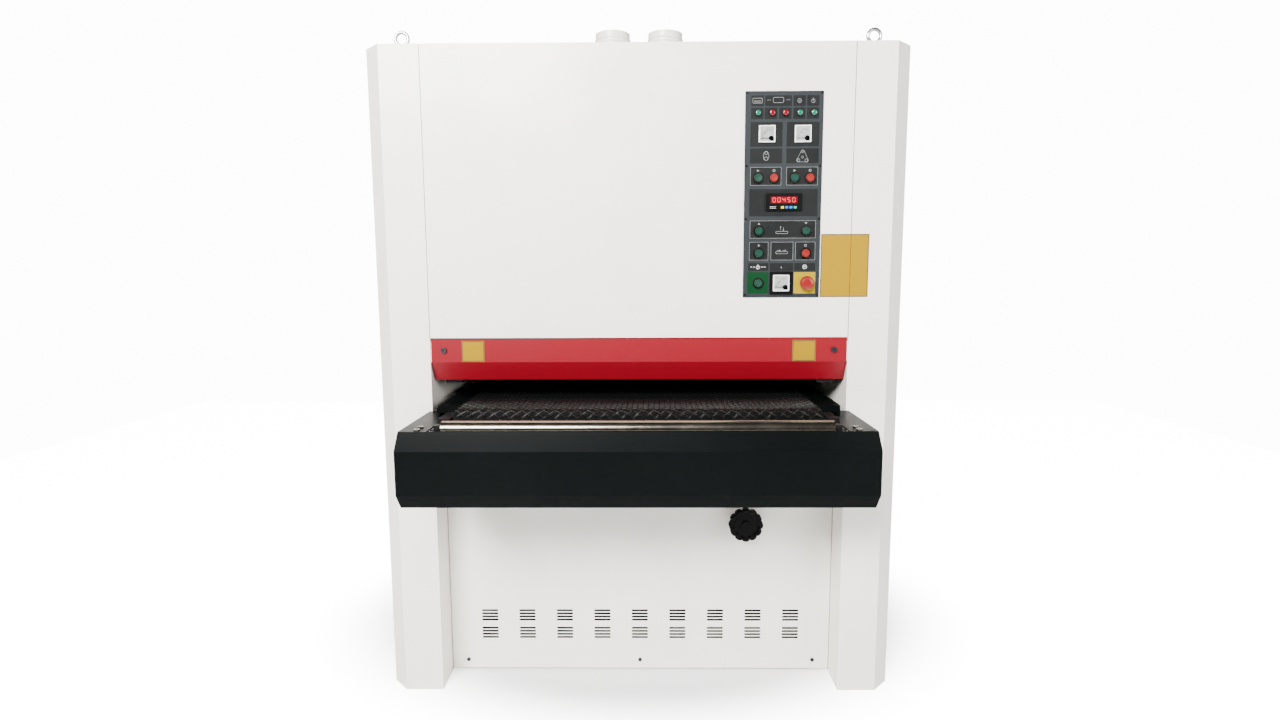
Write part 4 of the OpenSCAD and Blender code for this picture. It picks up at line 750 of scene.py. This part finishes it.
meter_white = moulded("meter_white", (0.80, 0.80, 0.78, 1), 0.35, 0.45)
dress(meter_white, "meter_cases")
dial_r, dial_lift, dial_thick = 25, 1.0, 0.15
dial_marks, covers, windows = bmesh.new(), bmesh.new(), bmesh.new()
for x, z in ((-47.6, 170.8), (53.3, 170.8), (0, -245.9)):
    px, pz = x + 12, z - 12
    arc = [polar(px, pz, dial_r, math.radians(a)) for a in range(92, 180, 8)]
    for a, b in zip(arc, arc[1:]):
        film_line(dial_marks, *a, *b, 0.5, dial_lift, dial_thick)
    for step in range(9):
        angle = math.radians(93 + step * 10.5)
        film_line(dial_marks, *polar(px, pz, 22.5 if step % 2 else 20.5, angle),
                  *polar(px, pz, dial_r, angle), 0.6, dial_lift, dial_thick)
    film_ring(dial_marks, x - 4, z + 3, 2.4, 0.5, 16, dial_lift, dial_thick)
    quarter = [(px + 7, pz - 7), (px + 7, pz + 2)]
    quarter += [polar(px, pz, 7, math.radians(a)) for a in range(20, 250, 15)]
    film_print(covers, quarter + [(px - 2, pz - 7)], lift=2.4, thick=0.7)
    film_print(windows, rounded(x - 19.6, x + 19.6, z - 19.6, z + 19.6, 0.5), lift=3.3, thick=0.5)
dial_print = ink("dial_print", (0.015, 0.015, 0.016, 1), 0.4, 0.5)
meter_glass = plain("meter_glass", Base_Color=(0.97, 0.98, 0.98, 1), Roughness=0.03, IOR=1.45,
                    Transmission_Weight=1.0)
finish_piece("meter_scales", dial_marks, dial_print)
finish_piece("meter_covers", covers, knob_plastic)
finish_piece("meter_windows", windows, meter_glass)
bezel = bmesh.new()
film_band(bezel, rounded(-33, 33, -279, -213, 3), rounded(-23.3, 23.3, -269.2, -222.6, 3), lift=0,
          thick=3.5)
finish_piece("voltmeter_bezel", bezel, knob_plastic)

# Readout
# A plug-in thickness display: red figures behind a red window, two status lines and four keys.
window_red = plain("readout_window", Base_Color=(0.12, 0.006, 0.01, 1), Roughness=0.15)
figure_red = plain("readout_figures", Base_Color=(0.5, 0.02, 0.02, 1),
                   Emission_Color=(1.0, 0.05, 0.06, 1), Emission_Strength=0.9)
readout_low, readout_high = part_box("digital_readout")
cx, cz = (((readout_low + readout_high) / 2).x - plate_centre.x) * 1000, -17.5
pane, figures, status = bmesh.new(), bmesh.new(), bmesh.new()
film_print(pane, rounded(cx - 38, cx + 38, cz - 3.4, cz + 15.4, 1), lift=4, thick=0.3)
# Each stroke of a figure: half steps to the right and up from its middle, and whether it lies flat
strokes = {"a": (0, 1, 1), "b": (1, 0.5, 0), "c": (1, -0.5, 0), "d": (0, -1, 1), "e": (-1, -0.5, 0),
           "f": (-1, 0.5, 0), "g": (0, 0, 1)}
figure_pitch, figure_half_width, figure_half_height = 14, 3.6, 6.2
for place, shown in enumerate(("abcdef", "abcdef", "bcfg", "acdfg", "abcdef")):
    for letter in shown:
        right, up, flat = strokes[letter]
        half_w, half_h = (2.8, 0.8) if flat else (0.8, 2.6)
        mx = cx + (place - 2) * figure_pitch + right * figure_half_width
        mz = cz + 6 + up * figure_half_height
        film_print(figures, rounded(mx - half_w, mx + half_w, mz - half_h, mz + half_h, 0.6), lift=4.3,
                   thick=0.1)
finish_piece("readout_pane", pane, window_red)
finish_piece("readout_figures", figures, figure_red)
key_colours = {"yellow": (0.62, 0.48, 0.02, 1), "blue": (0.01, 0.11, 0.36, 1),
               "azure": (0.01, 0.13, 0.40, 1), "green": (0.01, 0.28, 0.14, 1)}
for place, (colour_name, colour) in enumerate(key_colours.items()):
    key = bmesh.new()
    kx, kz = cx + place * 12 - 4.5, cz - 15
    film_print(key, rounded(kx - 4, kx + 4, kz - 3.2, kz + 3.2, 0.8), lift=7.25, thick=0.4)
    finish_piece("readout_key_" + colour_name, key, moulded("key_" + colour_name, colour, 0.4, 0.5))
for z in (-13.5, -17.5):
    for x in (-40, -34, -28):
        film_line(status, cx + x, cz + z, cx + x + 4.5, cz + z, 1.0, lift=6.0)
finish_piece("readout_status", status, white_print)

# Pilot lamps
# Five small lamps, each a domed plastic lens in a dark rim: three green and two red.
lens_radius, lens_dome, lens_rim, lamp_row, lens_sides = 7.5, 3.4, 5, 227.6, 28
# Share of the radius and of the dome's height, ring by ring from the rim
lens_profile = ((1, 0), (1, 0.4), (0.86, 0.7), (0.6, 0.92), (0.3, 1))
dress(knob_plastic, "pilot_lights")
green_lenses, red_lenses = bmesh.new(), bmesh.new()
for x, mesh in ((-73.7, green_lenses), (-33.9, red_lenses), (3.3, red_lenses), (43.3, green_lenses),
                (82.7, green_lenses)):
    rings = [on_plate(mesh, disc(x, lamp_row, lens_radius * share, lens_sides), lens_rim + lens_dome * rise)
             for share, rise in lens_profile]
    skin(mesh, rings)
    mesh.faces.new(rings[-1])
    mesh.faces.new(rings[0][::-1])
for colour_name, mesh, colour, slot in (("green", green_lenses, (0.0, 0.11, 0.06, 1), "lamp_green"),
                                        ("red", red_lenses, (0.15, 0.001, 0.006, 1), "button_red")):
    lens_plastic = grained("lens_" + colour_name, moulded_skin, 0.5, 0.0002,
                           {"Grain_Size": 0.0012, "Smooth": 0.08, "Rough": 0.16},
                           Base_Color=colour, Coat_Weight=0.5)
    finish_piece(colour_name + "_lamp_lenses", mesh, lens_plastic)

# Yellow plates
# Three plain self-adhesive plates, two on the guard and one over the right seam, left blank with a
# thin dark edge.
plate_yellow = moulded("plate_yellow", (0.26, 0.15, 0.0, 1), 0.35, 0.45, grain=0.001, relief=0.00001,
                       gloss=0.1)
blanks, edges = bmesh.new(), bmesh.new()
for x0, x1, z0, z1, face in ((-517, -451, 1026.5, 1088, "front_guard"),
                             (449, 517, 1026.5, 1088, "front_guard"),
                             (524, 662, 1212, 1392, "side_frames")):
    x0, x1 = x0 - plate_centre.x * 1000, x1 - plate_centre.x * 1000
    z0, z1 = z0 - plate_centre.z * 1000, z1 - plate_centre.z * 1000
    lift = (plate_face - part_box(face)[0].y) * 1000
    film_print(blanks, rounded(x0, x1, z0, z1, 1.5), lift, 0.3)
    outlined(edges, x0 + 1, x1 - 1, z0 + 1, z1 - 1, 2, lift=lift + 0.3, thick=0.1)
finish_piece("blank_yellow_plates", blanks, plate_yellow)
finish_piece("yellow_plate_edges", edges, dial_print)


# Panel gap shadow
# A black round-faced bead lies in the gap between each fixed front panel, its neighbours and the
# columns: painted shadow of the gaps.
def bead(mesh, start, end, across, half_width=0.0009, proud=0.0004, depth=0.0012, steps=6):
    """A round-faced strip from start to end, facing the infeed side."""
    angles = [math.pi * i / steps for i in range(steps + 1)]
    profile = [(-math.cos(a), -proud * math.sin(a)) for a in angles] + [(1, depth), (-1, depth)]
    rings = [[mesh.verts.new(Vector(end_point) + Vector(across) * half_width * share + Vector((0, deep, 0)))
              for share, deep in profile] for end_point in (start, end)]
    skin(mesh, rings)
    for ring in rings:
        mesh.faces.new(ring)


upper_low, upper_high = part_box("upper_front_panel")
guard_low, guard_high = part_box("front_guard")
gap_shadow_beads = bmesh.new()
column_inside = 0.610
seam_x, seam_z = (upper_high.x + column_inside) / 2, (guard_high.z + upper_low.z) / 2
for x in (-seam_x, seam_x):
    for low, high in ((upper_low, upper_high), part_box("lower_front_panel")):
        bead(gap_shadow_beads, (x, low.y, low.z), (x, low.y, high.z), (1, 0, 0))
bead(gap_shadow_beads, (guard_low.x, guard_low.y, seam_z), (guard_high.x, guard_low.y, seam_z), (0, 0, 1),
     half_width=0.0012)
# Black of the beads: painted shadow in the gaps
seal_rubber = moulded("seal_rubber", (0.006, 0.006, 0.006, 1), 0.5, 0.65, grain=0.001, gloss=0.15)
finish_piece("panel_seals", gap_shadow_beads, seal_rubber)

# Louvre shade
# A black sheet in a folded channel lies behind the cooling slots, front and rear, and a black
# patch fills each slot: painted shade of the cabinet's dark inside.
# Black of the sheets and slot patches: painted shade inside the louvres
louvre_shade_black = moulded("filter_mat", (0.004, 0.004, 0.0042, 1), 0.8, 0.95, grain=0.004, relief=0.0004, gloss=0.1)
sheet, mat_thick, channel_thick = 0.003, 0.003, 0.006
mat_x, channel_x, channel_z0, mat_z0, mat_z1, channel_z1 = 0.505, 0.512, 0.092, 0.098, 0.222, 0.228
for name, face, side in (("front_louvre_mat", panel_face, -1), ("rear_louvre_mat", -panel_face, 1)):
    shade_sheets = bmesh.new()
    inner = face - side * sheet
    for x0, x1, z0, z1, thick in ((-mat_x, mat_x, mat_z0, mat_z1, mat_thick),
                                  (-channel_x, channel_x, channel_z0, mat_z0, channel_thick),
                                  (-channel_x, channel_x, mat_z1, channel_z1, channel_thick),
                                  (-channel_x, -mat_x, mat_z0, mat_z1, channel_thick),
                                  (mat_x, channel_x, mat_z0, mat_z1, channel_thick)):
        near, far = [[shade_sheets.verts.new((x, y, z)) for x, z in ((x0, z0), (x1, z0), (x1, z1), (x0, z1))]
                     for y in (inner, inner - side * thick)]
        shade_sheets.faces.new(near)
        shade_sheets.faces.new(far[::-1])
        skin(shade_sheets, [far, near])
    finish_piece(name, shade_sheets, louvre_shade_black)


def make_slot_tree():
    """A round-ended patch of painted shade on each point, as thick as Depth."""
    tree, given, leave = shape_tree("slot_gauze", "Slot Length", "Slot Height", "Depth", Gauze="Material")
    height, depth = given["Slot Height"], given["Depth"]
    half = calc(tree, calc(tree, given["Slot Length"], "-", height), "*", 0.5)
    middle = made(tree, "GeometryNodeMeshCube",
                  Size=vector(tree, X=calc(tree, half, "*", 2.0), Y=height, Z=depth))
    patch = put(tree, "GeometryNodeJoinGeometry", Geometry=middle)
    for side in (1.0, -1.0):
        end = made(tree, "GeometryNodeMeshCylinder", Vertices=16, Depth=depth,
                   Radius=calc(tree, height, "*", 0.5))
        wire(tree, patch, Geometry=made(tree, "GeometryNodeTransform", Geometry=end,
                                        Translation=vector(tree, X=calc(tree, half, "*", side))))
    upright = made(tree, "GeometryNodeTransform", Geometry=patch.outputs[0], Rotation=front_facing)
    spread(tree, given, leave, upright, "Gauze")
    return tree


slot_tree = make_slot_tree()
slot_length, slot_height, slot_pitch, group_pitch, row_pitch = 0.0532, 0.0062, 0.0105, 0.121, 0.0595
slots_z, shade_fill_depth, shade_fill_behind = 0.158, 0.003, 0.0012
for side, name in ((1, "front_slot_gauze"), (-1, "rear_slot_gauze")):
    spots = bpy.data.meshes.new(name)
    spots.from_pydata([((group - 4) * group_pitch, side * (panel_face + shade_fill_behind),
                        slots_z + (row - 0.5) * row_pitch + (slot - 1.5) * slot_pitch)
                       for group in range(9) for row in range(2) for slot in range(4)], [], [])
    slot_shade = grown(name, spots, slot_tree, Slot_Length=slot_length, Slot_Height=slot_height,
                  Depth=shade_fill_depth, Gauze=louvre_shade_black)
    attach(slot_shade, "cabinet")

# Table handwheel
# A moulded black wheel with twelve finger lobes, a dished face and a boss, pressed on its stub shaft.
wheel_low, wheel_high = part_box("lift_handwheel")
wheel_x, wheel_z = (wheel_low.x + wheel_high.x) / 2, (wheel_low.z + wheel_high.z) / 2
wheel_r, wheel_front, wheel_depth = (wheel_high.x - wheel_low.x) / 2, wheel_low.y, wheel_high.y - wheel_low.y
lobes, lobe_depth, rim_steps = 12, 0.0058, 144
shaft_r, boss_r, face_boss_r = 0.010, 0.020, 0.015


def lobed(step):
    """Radius of the rim at a step round it."""
    wave = math.sqrt(abs(math.cos(lobes * math.pi * step / rim_steps)))
    return wheel_r - lobe_depth * (1 - wave)


wheel = bmesh.new()
wheel_rings = []
# Distance behind the front face, the share of the lobed rim there, or 0 and a round ring's radius
for behind, share, radius in (
        (0.0005, 0, 0.012), (0.0005, 0, 0.0135), (0.0045, 0, face_boss_r), (0.0045, 0.70, 0),
        (0.0015, 0.79, 0), (0, 0.84, 0), (0, 0.93, 0), (0.0012, 0.975, 0), (0.0035, 1, 0), (0.0185, 1, 0),
        (0.021, 0.975, 0), (0.022, 0.93, 0), (0.022, 0, 0.021), (0.024, 0, boss_r), (0.041, 0, boss_r),
        (0.041, 0, shaft_r), (wheel_depth, 0, shaft_r)):
    wheel_rings.append([])
    for step in range(rim_steps):
        angle = 2 * math.pi * step / rim_steps
        x, z = polar(wheel_x, wheel_z, lobed(step) * share if share else radius, angle)
        wheel_rings[-1].append(wheel.verts.new((x, wheel_front + behind, z)))
skin(wheel, wheel_rings)
wheel.faces.new(wheel_rings[0])
wheel.faces.new(wheel_rings[-1])
handwheel = finish_piece("lobed_handwheel", wheel, knob_plastic, "lift_handwheel")
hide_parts("lift_handwheel")


# Dust outlets
# Each spigot is beaded near its mouth, so that a hose clamp holds.
def turned(mesh, profile, place, axis, sides):
    """Adds a closed turned ring; profile gives (radius, distance along the axis) round its section."""
    rings = []
    for radius, along in profile:
        rings.append([])
        for step in range(sides):
            u, v = polar(0, 0, radius, 2 * math.pi * step / sides)
            spot = {"x": (along, u, v), "z": (u, v, along)}[axis]
            rings[-1].append(mesh.verts.new(Vector(place) + Vector(spot)))
    skin(mesh, rings + rings[:1])


outlet_top, outlet_x, outlet_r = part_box("dust_outlets")[1].z, 0.092, 0.0598
bead_rise, bead_half = 0.0026, 0.003
bead_profile = [(outlet_r + bead_rise * math.sin(math.pi * k / 6), -bead_half * math.cos(math.pi * k / 6))
                for k in range(7)]
beads = bmesh.new()
for x in (-outlet_x, outlet_x):
    for below in (0.022, 0.034):
        turned(beads, bead_profile, (x, 0, outlet_top - below), "z", 48)
finish_piece("outlet_beads", beads, off_white)

# Door grips and locks
# A black moulded sleeve, flat on its outer side, covers each bow handle, and a quarter-turn lock sits
# above and below it.
handle_y, handle_inset, lock_off, lock_face, lock_thick = -0.360, 0.006, 0.17, 0.775, 0.0035
grip_profile = [(0.0062, -0.048), (0.0085, -0.048), (0.0092, -0.044)]
grip_profile += [(0.0092 + 0.0006 * (k % 2), -0.040 + 0.004 * k) for k in range(21)]
grip_profile += [(0.0092, 0.044), (0.0085, 0.048), (0.0062, 0.048)]
lock_profile = [(0.0001, 0.0), (0.014, 0.0), (0.014, 0.002), (0.012, lock_thick), (0.0001, lock_thick)]
lock_key = metal("plated_lock", (0.50, 0.50, 0.52, 1), 0.25, 0.4, line=0.0006)
for door_name, side in (("left_door", -1), ("right_door", 1)):
    door_low, door_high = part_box(door_name)
    outside = abs(door_low.x) if side < 0 else door_high.x
    handle_z = (door_low.z + door_high.z) / 2
    grip = bmesh.new()
    turned(grip, grip_profile, (side * (outside - handle_inset), handle_y, handle_z), "z", 24)
    for point in grip.verts:
        point.co.x = max(-outside, min(outside, point.co.x))
    finish_piece(door_name + "_grip", grip, knob_plastic, door_name)
    locks = bmesh.new()
    lock_x = lock_face if side > 0 else -lock_face - lock_thick
    for z in (handle_z - lock_off, handle_z + lock_off):
        turned(locks, lock_profile, (lock_x, handle_y, z), "x", 28)
    finish_piece(door_name + "_locks", locks, lock_key, door_name)

# Rear panel screws
# Blackened socket screws along the edges of the fixed rear panels.
rear_face, rear_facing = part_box("rear_panels")[1].y, (-math.pi / 2, 0, 0)
rear_columns, rear_rows, side_rows = (-0.585, -0.293, 0, 0.293, 0.585), (0.995, 1.89), (1.22, 1.45, 1.67)
screws("rear_panel_screws", [(x, rear_face, z) for x in rear_columns for z in rear_rows]
       + [(x, rear_face, z) for x in (rear_columns[0], rear_columns[-1]) for z in side_rows],
       0.006, 0.003, blackened, facing=rear_facing)
screws("rear_low_screws", [(x, -panel_face, panel_screw_z) for x in (-panel_screw_x, 0, panel_screw_x)],
       0.006, 0.003, blackened, facing=rear_facing)
